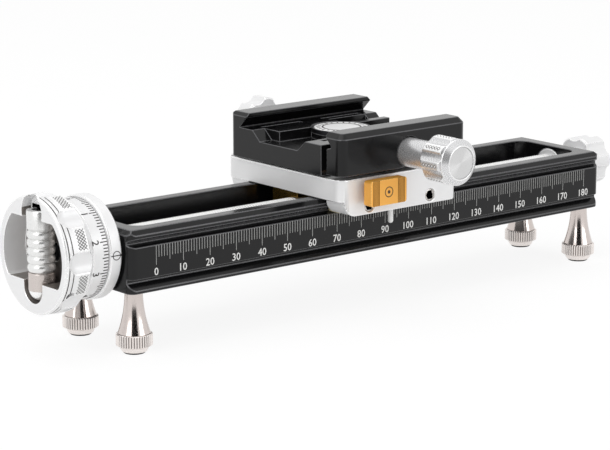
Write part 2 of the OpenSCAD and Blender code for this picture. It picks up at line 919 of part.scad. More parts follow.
module index_pointer() {
  color("#e8e8e8")
    translate([car_x, -pointer_y, 0]) {
      translate([0, 0, pointer_low + pointer_r])
        cylinder(r = pointer_r, h = pointer_top - pointer_low - pointer_r - seat, $fn = 48);
      translate([0, 0, pointer_low + pointer_r])
        sphere(pointer_r, $fn = 48);
    }
}

module pan_slip_washer() {
  color("#2a2a2c")
    translate([car_x, 0, car_top])
      difference() {
        cylinder(r = washer_r, h = washer_t);
        translate([0, 0, -over])
          cylinder(r = post_r + fit, h = washer_t + 2 * over);
      }
}

module pan_pivot_post() {
  color("#dcdcda")
    translate([car_x, 0, 0])
      difference() {
        union() {
          translate([0, 0, car_top - post_spigot_l])
            cylinder(r = post_spigot_r, h = post_spigot_l + 0.1);
          translate([0, 0, car_top])
            cylinder(r = post_r, h = head_z - car_top - 0.2);
          translate([0, 0, head_z - head_t])
            turned(disc_r, head_t, 0.15);
        }
        translate([0, 0, car_top - post_spigot_l - over])
          cylinder(r = pivot_screw_r + seat, h = pivot_screw_l - car_t + post_spigot_l + over + 0.5);
      }
}

module pan_pivot_screw() {
  color("#4a4b4f")
    translate([car_x, 0, plate_z])
      flat_screw(pivot_screw_head_r, pivot_screw_head_t, pivot_screw_r, pivot_screw_l);
}

module release_button() {
  color("#fbbb55")
    difference() {
      prism_y(-button_front, -button_back)
        round_rect(button_x - button_w / 2, button_x + button_w / 2, button_low, button_low + button_h,
          button_corner_r);
      translate([button_x - bar_w / 2 - seat, -bar_front - seat, bar_z - seat])
        cube([bar_w + 2 * seat, bar_front, bar_h + 2 * seat]);
    }
}

module release_bar() {
  color("#c79a3c")
    difference() {
      translate([button_x - bar_w / 2, -bar_front, bar_z])
        cube([bar_w, bar_front + bar_rear, bar_h]);
      for (y = [nut_y * 0.3, nut_y * 0.75])
        translate([button_x, y, bar_z + bar_h])
          rotate([180, 0, 0])
            flat_screw_seat(nut_screw_head_r, nut_screw_head_t, nut_screw_r, bar_h + over);
    }
}

module half_nut() {
  color("#c7a04e")
    difference() {
      union() {
        translate([nut_x0, 0, nut_low])
          cube([nut_l, nut_y, nut_top - nut_low]);
        translate([nut_x0, -nut_lip, axis_z + screw_r + 0.3])
          cube([nut_l, nut_lip + over, nut_top - axis_z - screw_r - 0.3]);
        translate([button_x - bar_w / 2, 0, nut_top - over])
          cube([bar_w, nut_y, bar_z - nut_top + over]);
      }
      along_x(nut_x0 - over)
        cylinder(r = screw_r + fit, h = nut_l + 2 * over);
      for (y = [nut_y * 0.3, nut_y * 0.75])
        translate([button_x, y, bar_z + bar_h - nut_screw_l - 0.3])
          cylinder(r = nut_screw_r + seat, h = nut_screw_l, $fn = 32);
    }
}

module half_nut_screws() {
  color("#55565a")
    for (y = [nut_y * 0.3, nut_y * 0.75])
      translate([button_x, y, bar_z + bar_h])
        rotate([180, 0, 0])
          flat_screw(nut_screw_head_r, nut_screw_head_t, nut_screw_r, nut_screw_l);
}

// Sunk end channel of the clamp base; s picks the end
module end_channel(s) {
  end_x = car_x + s * clamp_l / 2;
  inner_x = end_x - s * channel_mouth_l;
  bridge_x = car_x + s * bridge_half;
  rear = s < 0 ? channel_rear : channel_mouth_half - 0.4;
  difference() {
    union() {
      prism_x(min(end_x + s * over, inner_x), max(end_x + s * over, inner_x))
        polygon([[-channel_half, channel_z], [channel_half, channel_z],
          [channel_mouth_half + 0.6, seat_z + 0.6], [-channel_mouth_half - 0.6, seat_z + 0.6]]);
      translate([min(inner_x, bridge_x), -channel_mouth_half + 0.4, channel_z])
        cube([abs(inner_x - bridge_x), rear + channel_mouth_half - 0.4, seat_z]);
    }
    translate([car_x, 0, channel_z - over])
      cylinder(r = island_r, h = seat_z);
  }
}

module clamp_base() {
  color("#1b1b1d")
    difference() {
      intersection() {
        prism_x(clamp_x0, clamp_x1)
          polygon([[-base_front, base_z], [base_rear, base_z], [base_rear, base_top - base_bevel],
            [base_rear - base_bevel, base_top], [nose_y, base_top], [nose_y, base_top - nose_h],
            [nose_y + base_top - nose_h - undercut_z, undercut_z],
            [nose_y + base_top - nose_h - undercut_z, seat_z], [-base_front, seat_z]]);
        prism_y(-base_front, base_rear)
          bevel_rect(clamp_x0, clamp_x1, base_z, base_top, base_bevel);
        translate([0, 0, base_z])
          linear_extrude(base_top - base_z)
            round_rect(clamp_x0, clamp_x1, -base_front - 4, base_rear, 2.2);
      }
      end_channel(-1);
      difference() {
        end_channel(1);
        translate([car_x, tongue_front, channel_z - over])
          cube([tongue_end, tongue_rear - tongue_front, seat_z]);
      }
      for (s = [-1, 1]) {
        translate([car_x + s * pocket_off - pocket_l / 2, pocket_y, seat_z - pocket_d])
          cube([pocket_l, pocket_w, pocket_d + over]);
        translate([car_x + s * guide_off, 0, 0])
          along_y(0, -base_front - over, guide_z)
            cylinder(r = guide_r + seat, h = guide_in_base + over);
      }
      translate([car_x + land_slot_off, land_slot_y, seat_z - pocket_d])
        cube([land_slot_l, land_slot_w, pocket_d + over]);
      translate([car_x, 0, base_z - over])
        cylinder(r = post_r + fit, h = seat_z);
      translate([car_x, 0, counterbore_z])
        cylinder(r = disc_ring_r + seat, h = seat_z);
      along_y(knob_axis_x, -base_front - over, knob_axis_z)
        cylinder(r = clamp_screw_r + fit, h = base_front + clamp_screw_end + 2.8 + over);
      along_y(car_x, shoe_y + shoe_l - shoe_step, knob_axis_z)
        cylinder(r = clamp_screw_r + fit, h = base_rear);
      along_y(car_x, post_r - over, knob_axis_z)
        cylinder(r = shoe_r + fit, h = shoe_l + 2 * over);
    }
}

module pan_bearing_ring() {
  color("#232325")
    translate([car_x, 0, counterbore_z])
      difference() {
        cylinder(r = disc_ring_r, h = head_z - counterbore_z);
        translate([0, 0, -over])
          cylinder(r = disc_r + fit, h = seat_z);
      }
}

module jaw_guide_pins() {
  color("#b5b5b5")
    for (s = [-1, 1])
      along_y(car_x + s * guide_off, jaw_back - guide_bore_depth + jaw_gap, guide_z)
        turned(guide_r, guide_in_base + guide_bore_depth, 0.3);
}

// Carries the moving jaw's bevel round its upright front corner; s picks the end
module jaw_corner(s) {
  x = car_x + s * (clamp_l / 2 - jaw_corner_r);
  difference() {
    translate([min(x, x + s * (jaw_corner_r + over)), jaw_front - over, jaw_top - jaw_bevel])
      cube([jaw_corner_r + over, jaw_corner_r + over, jaw_bevel + over]);
    translate([x, jaw_front + jaw_corner_r, jaw_top - jaw_bevel])
      cylinder(r1 = jaw_corner_r, r2 = jaw_corner_r - jaw_bevel, h = jaw_bevel);
  }
}

module clamp_jaw() {
  color("#1b1b1d")
    difference() {
      intersection() {
        prism_x(clamp_x0, clamp_x1)
          polygon([[jaw_front, jaw_z], [jaw_front, jaw_top - jaw_bevel], [jaw_front + jaw_bevel, jaw_top],
            [jaw_nose, jaw_top], [jaw_nose, jaw_top - jaw_nose_h],
            [jaw_nose - 2.8, jaw_top - jaw_nose_h - 2.8], [jaw_nose - 2.8, seat_z - 0.3],
            [jaw_back, seat_z - 0.8], [jaw_back, jaw_z]]);
        prism_y(jaw_front, jaw_nose)
          bevel_rect(clamp_x0, clamp_x1, jaw_z, jaw_top, jaw_bevel);
        translate([0, 0, jaw_z])
          linear_extrude(jaw_h)
            round_rect(clamp_x0, clamp_x1, jaw_front, jaw_nose + 4, jaw_corner_r);
      }
      jaw_corner(-1);
      jaw_corner(1);
      along_y(knob_axis_x, jaw_front - over, knob_axis_z)
        cylinder(r = clamp_screw_r + fit, h = jaw_t + 2 * over);
      along_y(knob_axis_x, jaw_front - over, knob_axis_z)
        cylinder(r = knob_seat_r, h = knob_seat_d + over);
      for (s = [-1, 1])
        along_y(car_x + s * guide_off, jaw_back - guide_bore_depth, guide_z)
          cylinder(r = guide_r + fit, h = guide_bore_depth + over);
    }
}

module clamp_knob() {
  color("#d8d9da")
    along_y(knob_axis_x, jaw_front, knob_axis_z)
      rotate([180, 0, 0])
        difference() {
          union() {
            translate([0, 0, -knob_seat_d + 0.1])
              turned(hub_r, hub_l + knob_seat_d + 0.9, 0.3);
            translate([0, 0, hub_l])
              fluted_body(knob_r, knob_l, knob_flutes, knob_first_flute, knob_cap_r);
          }
          translate([0, 0, -knob_seat_d - over])
            cylinder(r = clamp_screw_r + seat, h = hub_l + knob_l * 0.5 + knob_seat_d + over);
        }
}

module clamp_knob_cap() {
  color("#e6e7e7")
    along_y(knob_axis_x, knob_back - knob_l + cap_sink, knob_axis_z)
      rotate([180, 0, 0])
        turned(knob_cap_r, cap_t, 0.1);
}

module clamp_screw() {
  color("#85868a")
    along_y(knob_axis_x, knob_back - knob_l * 0.5, knob_axis_z)
      turned(clamp_screw_r, clamp_screw_end - knob_back + knob_l * 0.5, 0.3);
}

module pan_lock_knob() {
  color("#d8d9da")
    along_y(car_x, base_rear, knob_axis_z)
      difference() {
        union() {
          translate([0, 0, 0.2])
            turned(hub_r, pan_hub_l + 0.5, 0.3);
          translate([0, 0, pan_hub_l])
            lobed_body(pan_knob_r, pan_knob_l, lobes, pan_first_flute, pan_cap_r);
        }
        translate([0, 0, -over])
          cylinder(r = clamp_screw_r + seat, h = pan_hub_l + pan_knob_l * 0.5 + over);
      }
}

module pan_lock_cap() {
  color("#e6e7e7")
    along_y(car_x, pan_knob_back + pan_knob_l - cap_sink, knob_axis_z)
      turned(pan_cap_r, cap_t, 0.1);
}

module pan_lock_screw() {
  low = shoe_y + shoe_l;
  color("#85868a")
    along_y(car_x, low, knob_axis_z)
      turned(clamp_screw_r, pan_knob_back + pan_knob_l * 0.5 - low, 0.3);
}

module pan_lock_shoe() {
  color("#b08d4a")
    along_y(car_x, shoe_y, knob_axis_z)
      cylinder(r = shoe_r, h = shoe_l);
}

rail_frame();
left_bearing_bush();
right_bearing_boss();
index_ring();
index_ring_screws();
foot(-1, -1);  // foot_front_left
foot(1, -1);  // foot_front_right
foot(-1, 1);  // foot_rear_left
foot(1, 1);  // foot_rear_right
pad(-1, -1);  // pad_front_left
pad(1, -1);  // pad_front_right
pad(-1, 1);  // pad_rear_left
pad(1, 1);  // pad_rear_right
lead_screw();
hand_wheel();
dial_ring();
wheel_screw();
crank_pivot_pin();
crank_arm();
crank_grip_screw();
crank_grip();
drive_lock_knob();
drive_lock_cap();
drive_lock_stud();
drive_lock_plug();
carriage_plate();
gib(-1);  // front_gib
gib(1);  // rear_gib
gib_set_screws();
index_pointer();
pan_slip_washer();
pan_pivot_post();
pan_pivot_screw();
release_button();
release_bar();
half_nut();
half_nut_screws();
clamp_base();
pan_bearing_ring();
jaw_guide_pins();
clamp_jaw();
clamp_knob();
clamp_knob_cap();
clamp_screw();
pan_lock_knob();
pan_lock_cap();
pan_lock_screw();
pan_lock_shoe();
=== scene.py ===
"""Macro focusing rail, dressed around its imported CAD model. The camera and the studio come
first, then the object's pieces in the order in which they are put together."""
import json
import math

import bmesh
import bpy
from mathutils import Matrix, Vector


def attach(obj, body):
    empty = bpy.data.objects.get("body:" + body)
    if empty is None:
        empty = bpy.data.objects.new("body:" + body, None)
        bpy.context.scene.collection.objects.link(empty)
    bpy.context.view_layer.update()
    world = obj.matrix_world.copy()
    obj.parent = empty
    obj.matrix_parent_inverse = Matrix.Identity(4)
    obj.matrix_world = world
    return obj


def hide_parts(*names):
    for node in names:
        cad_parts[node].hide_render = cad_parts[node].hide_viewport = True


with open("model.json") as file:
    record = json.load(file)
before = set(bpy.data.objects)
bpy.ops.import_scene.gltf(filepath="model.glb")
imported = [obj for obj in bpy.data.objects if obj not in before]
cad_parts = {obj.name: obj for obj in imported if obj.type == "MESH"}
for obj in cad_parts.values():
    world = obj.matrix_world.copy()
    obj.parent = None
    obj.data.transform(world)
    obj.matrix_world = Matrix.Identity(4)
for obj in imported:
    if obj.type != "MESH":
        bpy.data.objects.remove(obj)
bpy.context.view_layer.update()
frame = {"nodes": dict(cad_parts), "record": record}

# ---------------------------------------------------------------- Camera
# A long lens in front of the rail's left end, a little above it. It looks down by 12.5 degrees
# and along the rail's length by 50 degrees, as the product picture does.
MM = 0.001
LEFT_TURN = 39.686
DOWN = 12.508
FOCAL_LENGTH = 146.9
CAMERA_PLACE = (-511.6, -596.7, 178.5)
camera_data = bpy.data.cameras.new("camera")
camera_data.sensor_width = 36
camera_data.lens = FOCAL_LENGTH
camera_data.clip_start = 0.01
camera_data.clip_end = 30
camera = bpy.data.objects.new("camera", camera_data)
camera.location = Vector(CAMERA_PLACE) * MM
camera.rotation_euler = (math.radians(90 - DOWN), 0, math.radians(-LEFT_TURN))
bpy.context.scene.collection.objects.link(camera)
bpy.context.scene.camera = camera
bpy.context.scene.view_settings.view_transform = "Standard"


# ---------------------------------------------------------------- Studio
# A white table of painted board that runs out of sight, white surroundings and soft boxes
# above, to the left and in front. Camera, mirror and glass rays see plain white, but for a dark
# card behind the photographer, which gives polished metal its dark bands.
def linear(code):
    """The linear RGBA of an sRGB hex colour."""
    parts = [int(code[i:i + 2], 16) / 255 for i in (1, 3, 5)]
    return [p / 12.92 if p <= 0.04045 else ((p + 0.055) / 1.055) ** 2.4 for p in parts] + [1.0]


def add_node(tree, kind, inputs=None, **settings):
    """Adds a node: an input's value is set, or linked where it is another node's socket."""
    made = tree.nodes.new("ShaderNode" + kind)
    for name, value in settings.items():
        setattr(made, name, value)
    for name, value in (inputs or {}).items():
        if isinstance(value, bpy.types.NodeSocket):
            tree.links.new(value, made.inputs[name])
        else:
            made.inputs[name].default_value = value
    return made


def blank_material(name):
    """A material whose node tree is empty."""
    made = bpy.data.materials.new(name)
    made.use_nodes = True
    made.node_tree.nodes.clear()
    return made


def stage_piece(shape, name, paint):
    """Turns a bmesh into an object of the studio."""
    mesh = bpy.data.meshes.new(name)
    shape.to_mesh(mesh)
    shape.free()
    mesh.materials.append(paint)
    made = bpy.data.objects.new(name, mesh)
    bpy.context.scene.collection.objects.link(made)
    return made


def seen_directly(tree):
    """1 for rays that show the background as such, 0 for the light that falls on the object."""
    ray = add_node(tree, "LightPath").outputs
    first = add_node(tree, "Math", {0: ray["Is Camera Ray"], 1: ray["Is Glossy Ray"]},
                     operation="ADD")
    return add_node(tree, "Math", {0: first.outputs[0], 1: ray["Is Transmission Ray"]},
                    operation="ADD", use_clamp=True).outputs[0]


AMBIENT = 0.55
world = bpy.data.worlds.new("studio")
bpy.context.scene.world = world
world.use_nodes = True
world.node_tree.nodes.clear()
strength = add_node(world.node_tree, "MapRange", {"Value": seen_directly(world.node_tree),
                                                  "To Min": AMBIENT, "To Max": 1.0})
sky = add_node(world.node_tree, "Background", {"Color": linear("#FFFFFF"),
                                               "Strength": strength.outputs[0]})
add_node(world.node_tree, "OutputWorld", {"Surface": sky.outputs[0]})

# The board glows as the picture's white ground does, and SHADOW_SHARE of it takes shadows
SHADOW_SHARE = 0.16
GLOW = 1.05
table_paint = blank_material("white_painted_board")
tree = table_paint.node_tree
grain = add_node(tree, "TexNoise", {"Vector": add_node(tree, "TexCoord").outputs["Object"],
                                    "Scale": 1 / (0.4 * MM), "Detail": 2.0})
relief = add_node(tree, "Bump", {"Height": grain.outputs["Fac"], "Strength": 0.02,
                                 "Distance": 0.05 * MM})
board = add_node(tree, "BsdfDiffuse", {"Color": linear("#F4F4F4"), "Normal": relief.outputs[0]})
glow = add_node(tree, "Emission", {"Color": linear("#FFFFFF"), "Strength": GLOW})
share = add_node(tree, "MapRange", {"Value": seen_directly(tree), "To Min": 0.0,
                                    "To Max": 1 - SHADOW_SHARE})
mixed = add_node(tree, "MixShader", {0: share.outputs[0], 1: board.outputs[0], 2: glow.outputs[0]})
add_node(tree, "OutputMaterial", {"Surface": mixed.outputs[0]})

TABLE_Z = -18.9
TABLE_SIZE = 4.0
shape = bmesh.new()
bmesh.ops.create_grid(shape, x_segments=1, y_segments=1, size=TABLE_SIZE)
bmesh.ops.translate(shape, verts=shape.verts, vec=(0, 0, TABLE_Z * MM))
table = stage_piece(shape, "table", table_paint)

# Each soft box: place and aim in metres, side lengths in metres, power in watts
SOFT_BOXES = {
    "top_box": ((-0.05, 0.15, 0.85), (0, 0, 0), 0.9, 0.7, 2.2),
    "left_box": ((-0.95, -0.25, 0.45), (0, 0, 0), 0.6, 0.6, 2.4),
    "front_box": ((0.35, -0.95, 0.40), (0, 0, 0), 0.6, 0.6, 2.2),
}
for name, (place, aim, wide, high, power) in SOFT_BOXES.items():
    lamp_data = bpy.data.lights.new(name, "AREA")
    lamp_data.shape = "RECTANGLE"
    lamp_data.size = wide
    lamp_data.size_y = high
    lamp_data.energy = power
    lamp = bpy.data.objects.new(name, lamp_data)
    lamp.location = place
    lamp.rotation_euler = (Vector(aim) - Vector(place)).to_track_quat("-Z", "Y").to_euler()
    bpy.context.scene.collection.objects.link(lamp)

# The dark card, in metres like the soft boxes
CARD_PLACE = Vector((-0.62, -0.86, 0.30))
CARD_WIDE = 0.95
CARD_HIGH = 0.80
card_paint = blank_material("black_felt_card")
felt = add_node(card_paint.node_tree, "BsdfDiffuse", {"Color": linear("#202020")})
add_node(card_paint.node_tree, "OutputMaterial", {"Surface": felt.outputs[0]})
shape = bmesh.new()
bmesh.ops.create_grid(shape, x_segments=1, y_segments=1, size=0.5,
                      matrix=Matrix.Diagonal((CARD_WIDE, CARD_HIGH, 1, 1)))
bmesh.ops.transform(shape, verts=shape.verts, matrix=Matrix.Translation(CARD_PLACE)
                    @ (-CARD_PLACE).to_track_quat("Z", "Y").to_matrix().to_4x4())
card = stage_piece(shape, "dark_card", card_paint)
card.visible_camera = False
card.visible_diffuse = False
card.visible_shadow = False


# ---------------------------------------------------------------- Rail body
# One extruded and milled bar of aluminium, bead blasted and black anodised. Its deburred edges
# carry a painted highlight as thin pale lines. The trough, the grooves and the holes are milled.
DRIFT_SIZE = 14
MERGE = 0.002 * MM
SMOOTH_UP_TO = math.radians(30)
BREAK_FROM = math.radians(32)
EDGE_SLOT = 1


def surface(name, colour, drift, metallic, roughness, grit, bump, spread=0.06, shine=0.5):
    """A fine even grain of one size and one height in mm, with a slow drift of the colour."""
    made = blank_material(name)
    tree = made.node_tree
    place = add_node(tree, "TexCoord").outputs["Object"]
    fine = add_node(tree, "TexNoise", {"Vector": place, "Scale": 1 / (grit * MM), "Detail": 2.0})
    slow = add_node(tree, "TexNoise", {"Vector": place, "Scale": 1 / (DRIFT_SIZE * MM),
                                      "Detail": 3.0})
    tint = add_node(tree, "Mix", {0: slow.outputs["Fac"], 6: linear(colour), 7: linear(drift)},
                    data_type="RGBA")
    gloss = add_node(tree, "MapRange", {"Value": fine.outputs["Fac"], "From Min": 0.3,
                                        "From Max": 0.7, "To Min": roughness - spread,
                                        "To Max": roughness + spread})
    rough = add_node(tree, "Bump", {"Height": fine.outputs["Fac"], "Strength": 1.0,
                                    "Distance": bump * MM})
    skin = add_node(tree, "BsdfPrincipled", {
        "Base Color": tint.outputs[2], "Metallic": metallic, "Roughness": gloss.outputs[0],
        "Specular IOR Level": shine, "Normal": rough.outputs[0]})
    add_node(tree, "OutputMaterial", {"Surface": skin.outputs[0]})
    return made


# Black anodised aluminium, bead blasted: a dyed oxide skin, deep black with a satin sheen
black_anodised = surface("black_anodised_aluminium", "#0E0E0F", "#131314", 0.0, 0.17, 0.35, 0.001,
                         spread=0.03, shine=0.30)
# The same on a deburred edge, painted lighter: a painted highlight along the edge
black_edge_highlight = surface("black_anodised_edge_painted_highlight", "#4C4C4E", "#5A5A5C", 0.3, 0.28, 0.35, 0.002)

BODY_OF = {node: body for body, nodes in frame["record"]["behaviour"]["bodies"].items()
           for node in nodes}


def settle(piece, node, replaced=False):
    """Makes a piece ride with a CAD node's body, or stand in for the node."""
    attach(piece, BODY_OF[node])
    if replaced:
        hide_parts(node)
    return piece


def piece_from(shape, name, *materials):
    """Turns a bmesh into an object with outward faces, smooth up to 30 degrees."""
    mesh = bpy.data.meshes.new(name)
    shape.to_mesh(mesh)
    shape.free()
    mesh.shade_smooth()
    mesh.set_sharp_from_angle(angle=SMOOTH_UP_TO)
    for material in materials:
        mesh.materials.append(material)
    piece = bpy.data.objects.new(name, mesh)
    bpy.context.scene.collection.objects.link(piece)
    return piece


def solid_of(node):
    """A copy of a CAD node's mesh with its doubles merged and its flat faces joined."""
    shape = bmesh.new()
    shape.from_mesh(frame["nodes"][node].data)
    bmesh.ops.remove_doubles(shape, verts=shape.verts, dist=MERGE)
    bmesh.ops.dissolve_limit(shape, angle_limit=math.radians(0.6), verts=shape.verts,
                             edges=shape.edges)
    for face in shape.faces:
        face.material_index = 0
    return shape


def break_edges(piece, width, edge_slot=-1):
    """Deburrs a machined piece: its sharp edges get a small round of the given width in mm."""
    bevel = piece.modifiers.new("deburred", "BEVEL")
    bevel.width = width * MM
    bevel.segments = 2
    bevel.limit_method = "ANGLE"
    bevel.angle_limit = BREAK_FROM
    bevel.use_clamp_overlap = False
    bevel.material = edge_slot
    flat = piece.modifiers.new("flat_faces", "WEIGHTED_NORMAL")
    flat.keep_sharp = True


def spare_edges(piece, slot):
    """Keeps the deburring off the edges of one material's faces, such as a fine groove's."""
    shape = bmesh.new()
    shape.from_mesh(piece.data)
    weight = shape.edges.layers.float.new("bevel_weight_edge")
    for edge in shape.edges:
        sharp = len(edge.link_faces) == 2 and edge.calc_face_angle() > BREAK_FROM
        if sharp and all(face.material_index != slot for face in edge.link_faces):
            edge[weight] = 1.0
    shape.to_mesh(piece.data)
    shape.free()
    piece.modifiers["deburred"].limit_method = "WEIGHT"


def machined(node, materials, width):
    """The CAD node's own shape, its edges deburred by a width in mm, stands in for the node.
    A second material is that of the deburred edges."""
    piece = piece_from(solid_of(node), node + "_finished", *materials)
    break_edges(piece, width, EDGE_SLOT if len(materials) > 1 else -1)
    settle(piece, node, replaced=True)


def carried(node, material):
    """A CAD node whose shape stays gets its real finish."""
    for slot in frame["nodes"][node].material_slots:
        slot.material = material


machined("rail_frame", (black_anodised, black_edge_highlight), 0.26)

# ---------------------------------------------------------------- Ruler
# White pad-printed millimetre ruler on the front side between the two grooves: a line for every
# millimetre from 0 to 180, longer at 5 and 10, and a number under every tenth.
white_ink = surface("white_pad_printing_ink", "#F2F2F0", "#E8E8E6", 0.0, 0.55, 0.15, 0.002)
line_ink = surface("grey_white_pad_printing_ink", "#C4C4C2", "#B8B8B6", 0.0, 0.55, 0.15, 0.002)
RULER_ZERO = -89.2
RULER_END = 180
RULER_FACE = -19.0
RULER_TOP = 13.85
INK = 0.03
LINE_WIDTH = 0.14
LINE_LOW = {"one": 10.3, "five": 9.1, "ten": 8.0}


def at(point, degrees=0, axis="Z"):
    """The matrix of a place in mm, turned round one axis."""
    return (Matrix.Translation(Vector(point) * MM)
            @ Matrix.Rotation(math.radians(degrees), 4, axis))


def add_box(shape, low, high, place=None):
    """Adds a closed box between two corners in mm, set at a matrix where one is given."""
    size = Vector(high) - Vector(low)
    middle = (Vector(high) + Vector(low)) / 2
    box = Matrix.Translation(middle * MM) @ Matrix.Diagonal((*(size * MM), 1))
    bmesh.ops.create_cube(shape, size=1.0, matrix=(place or Matrix()) @ box)


def rank(mark):
    """Whether a line of a scale is a tenth, a fifth or a single one."""
    return "ten" if mark % 10 == 0 else "five" if mark % 5 == 0 else "one"


shape = bmesh.new()
for mark in range(RULER_END + 1):
    low = LINE_LOW[rank(mark)]
    middle = RULER_ZERO + mark
    add_box(shape, (middle - LINE_WIDTH / 2, RULER_FACE - INK, low),
            (middle + LINE_WIDTH / 2, RULER_FACE + INK, RULER_TOP))
settle(piece_from(shape, "ruler_lines", line_ink), "rail_frame")


def add_part(shape, part):
    """Moves a finished bmesh into another one."""
    made = bpy.data.meshes.new("part")
    part.to_mesh(made)
    part.free()
    shape.from_mesh(made)
    bpy.data.meshes.remove(made)


# The part of a letter's size that a capital or a digit fills
CAPITAL_SHARE = 0.7


def add_text(shape, text, height, place, bold):
    """Adds plain block lettering as a closed mesh, its height and its added weight in mm."""
    curve = bpy.data.curves.new("lettering", "FONT")
    curve.body = text
    curve.size = height * MM / CAPITAL_SHARE
    curve.extrude = INK * MM
    curve.offset = bold * MM
    curve.resolution_u = 2
    curve.align_x = "CENTER"
    curve.align_y = "CENTER"
    holder = bpy.data.objects.new("lettering", curve)
    bpy.context.scene.collection.objects.link(holder)
    flat = bpy.data.meshes.new_from_object(holder)
    bpy.data.objects.remove(holder)
    bpy.data.curves.remove(curve)
    part = bmesh.new()
    part.from_mesh(flat)
    bpy.data.meshes.remove(flat)
    bmesh.ops.remove_doubles(part, verts=part.verts, dist=MERGE)
    xs = [v.co.x for v in part.verts]
    ys = [v.co.y for v in part.verts]
    off = Vector(((min(xs) + max(xs)) / -2, (min(ys) + max(ys)) / -2, 0))
    bmesh.ops.translate(part, verts=part.verts, vec=off)
    if callable(place):
        for v in part.verts:
            v.co = place(v.co)
    else:
        bmesh.ops.transform(part, matrix=place, verts=part.verts)
    bmesh.ops.recalc_face_normals(part, faces=part.faces)
    add_part(shape, part)


NUMBER_HEIGHT = 2.3
NUMBER_Z = 6.0
BOLD = 0.025
shape = bmesh.new()
for mark in range(0, RULER_END + 1, 10):
    add_text(shape, str(mark), NUMBER_HEIGHT,
             at((RULER_ZERO + mark, RULER_FACE, NUMBER_Z), 90, "X"), BOLD)
settle(piece_from(shape, "ruler_numbers", white_ink), "rail_frame")

# ---------------------------------------------------------------- Feet and pads
# Four turned stainless steel feet on threaded studs: a hollow flared neck, a thin dark step and
# a ring with a straight knurl, with a black rubber pad pressed into the end.
turned_steel = surface("turned_stainless_steel", "#CBC1BC", "#D5CCC8", 1.0, 0.16, 0.25, 0.0005,
                       0.03)
FOOT_X = 94.0
FOOT_Y = 14.0
FEET = (("front_left", -1, -1), ("front_right", 1, -1),
        ("rear_left", -1, 1), ("rear_right", 1, 1))
NECK_R = 2.75
FLARE_R = 4.95
NECK_STEPS = 14
STUD = ((0, 5.5), (1.3, 5.5), (1.5, 5.3), (1.5, -0.5), (0, -0.5))
RING_HIGH = -12.7
RING_LOW = -16.4
RING_CREST_R = 5.55
RING_ROOT_R = 5.2
RIBS = 40
END_R = 3.3
SEAT_R = 2.62
# Height, crest radius and root radius of the knurled ring's levels, down to the pad's seat
RING_LEVELS = (
    (RING_HIGH - 0.15, 5.15, 5.15), (RING_HIGH - 0.45, RING_CREST_R, RING_ROOT_R),
    (RING_LOW, RING_CREST_R, RING_ROOT_R), (RING_LOW - 0.15, 5.15, 5.1),
    (RING_LOW - 0.55, 4.4, 4.4), (RING_LOW - 1.2, 4.2, 4.2), (RING_LOW - 1.9, 3.8, 3.8),
    (TABLE_Z + 0.55, END_R, END_R), (TABLE_Z + 0.55, SEAT_R, SEAT_R),
    (TABLE_Z + 1.25, SEAT_R, SEAT_R))
# Radius and height of the pad, whose lip covers the foot's end
PAD = ((0, TABLE_Z + 1.2), (2.6, TABLE_Z + 1.2), (2.6, TABLE_Z + 0.53), (END_R, TABLE_Z + 0.51),
       (3.35, TABLE_Z + 0.2), (3.1, TABLE_Z), (0, TABLE_Z))


def skin_of(material):
    """The shader of a finished surface."""
    return next(n for n in material.node_tree.nodes if n.bl_idname == "ShaderNodeBsdfPrincipled")


def darken_low(material, low_colour, high_colour):
    """A knurl's pits get painted shade and its crests stay bright: they follow the crest
    attribute.
    """
    tree = material.node_tree
    crest = add_node(tree, "Attribute", attribute_name="crest")
    pits = add_node(tree, "MapRange", {"Value": crest.outputs["Fac"], "From Min": 0.08,
                                       "From Max": 0.42})
    tint = add_node(tree, "Mix", {0: pits.outputs[0], 6: linear(low_colour),
                                  7: linear(high_colour)}, data_type="RGBA")
    tree.links.new(tint.outputs[2], skin_of(material).inputs["Base Color"])


# The straight knurl of the same steel: bright crests, and grooves with painted shade
knurled_steel = surface("knurled_stainless_steel", "#D8CFCB", "#E2DAD6", 0.8, 0.3, 0.25, 0.001)
darken_low(knurled_steel, "#3A302C", "#F0E9E5")


def spun(shape, outline, steps, place):
    """Turns an outline of (radius, height) in mm round Z, then sets it at a matrix."""
    before = set(shape.verts)
    line = [shape.verts.new((r * MM, 0, z * MM)) for r, z in outline]
    edges = [shape.edges.new(pair) for pair in zip(line, line[1:])]
    bmesh.ops.spin(shape, geom=line + edges, cent=(0, 0, 0), axis=(0, 0, 1),
                   angle=math.tau, steps=steps, use_merge=True)
    made = [v for v in shape.verts if v not in before]
    bmesh.ops.remove_doubles(shape, verts=made, dist=MERGE)
    made = [v for v in shape.verts if v not in before]
    bmesh.ops.transform(shape, matrix=place, verts=made)
    faces = list({f for v in made for f in v.link_faces})
    bmesh.ops.recalc_face_normals(shape, faces=faces)


def verts_of(geometry):
    """The vertices among what an operator gave back."""
    return [g for g in geometry if isinstance(g, bmesh.types.BMVert)]


def round_of(v):
    """A vertex's angle round Z, from 0 to a full turn."""
    return math.atan2(v.co.y, v.co.x) % math.tau


def foot_outline():
    """The foot's neck, a circle's arc that is upright under the rail, and the dark step."""
    flare = FLARE_R - NECK_R
    bow = (RING_HIGH ** 2 + flare ** 2) / (2 * flare)
    arc = []
    for i in range(NECK_STEPS + 1):
        z = RING_HIGH * i / NECK_STEPS
        arc.append((NECK_R + bow - math.sqrt(bow ** 2 - z ** 2), z))
    step_r = FLARE_R - 0.45
    step_z = RING_HIGH - 0.4
    return [(0, 0)] + arc + [(step_r, RING_HIGH - 0.05), (step_r, step_z), (0, step_z)]


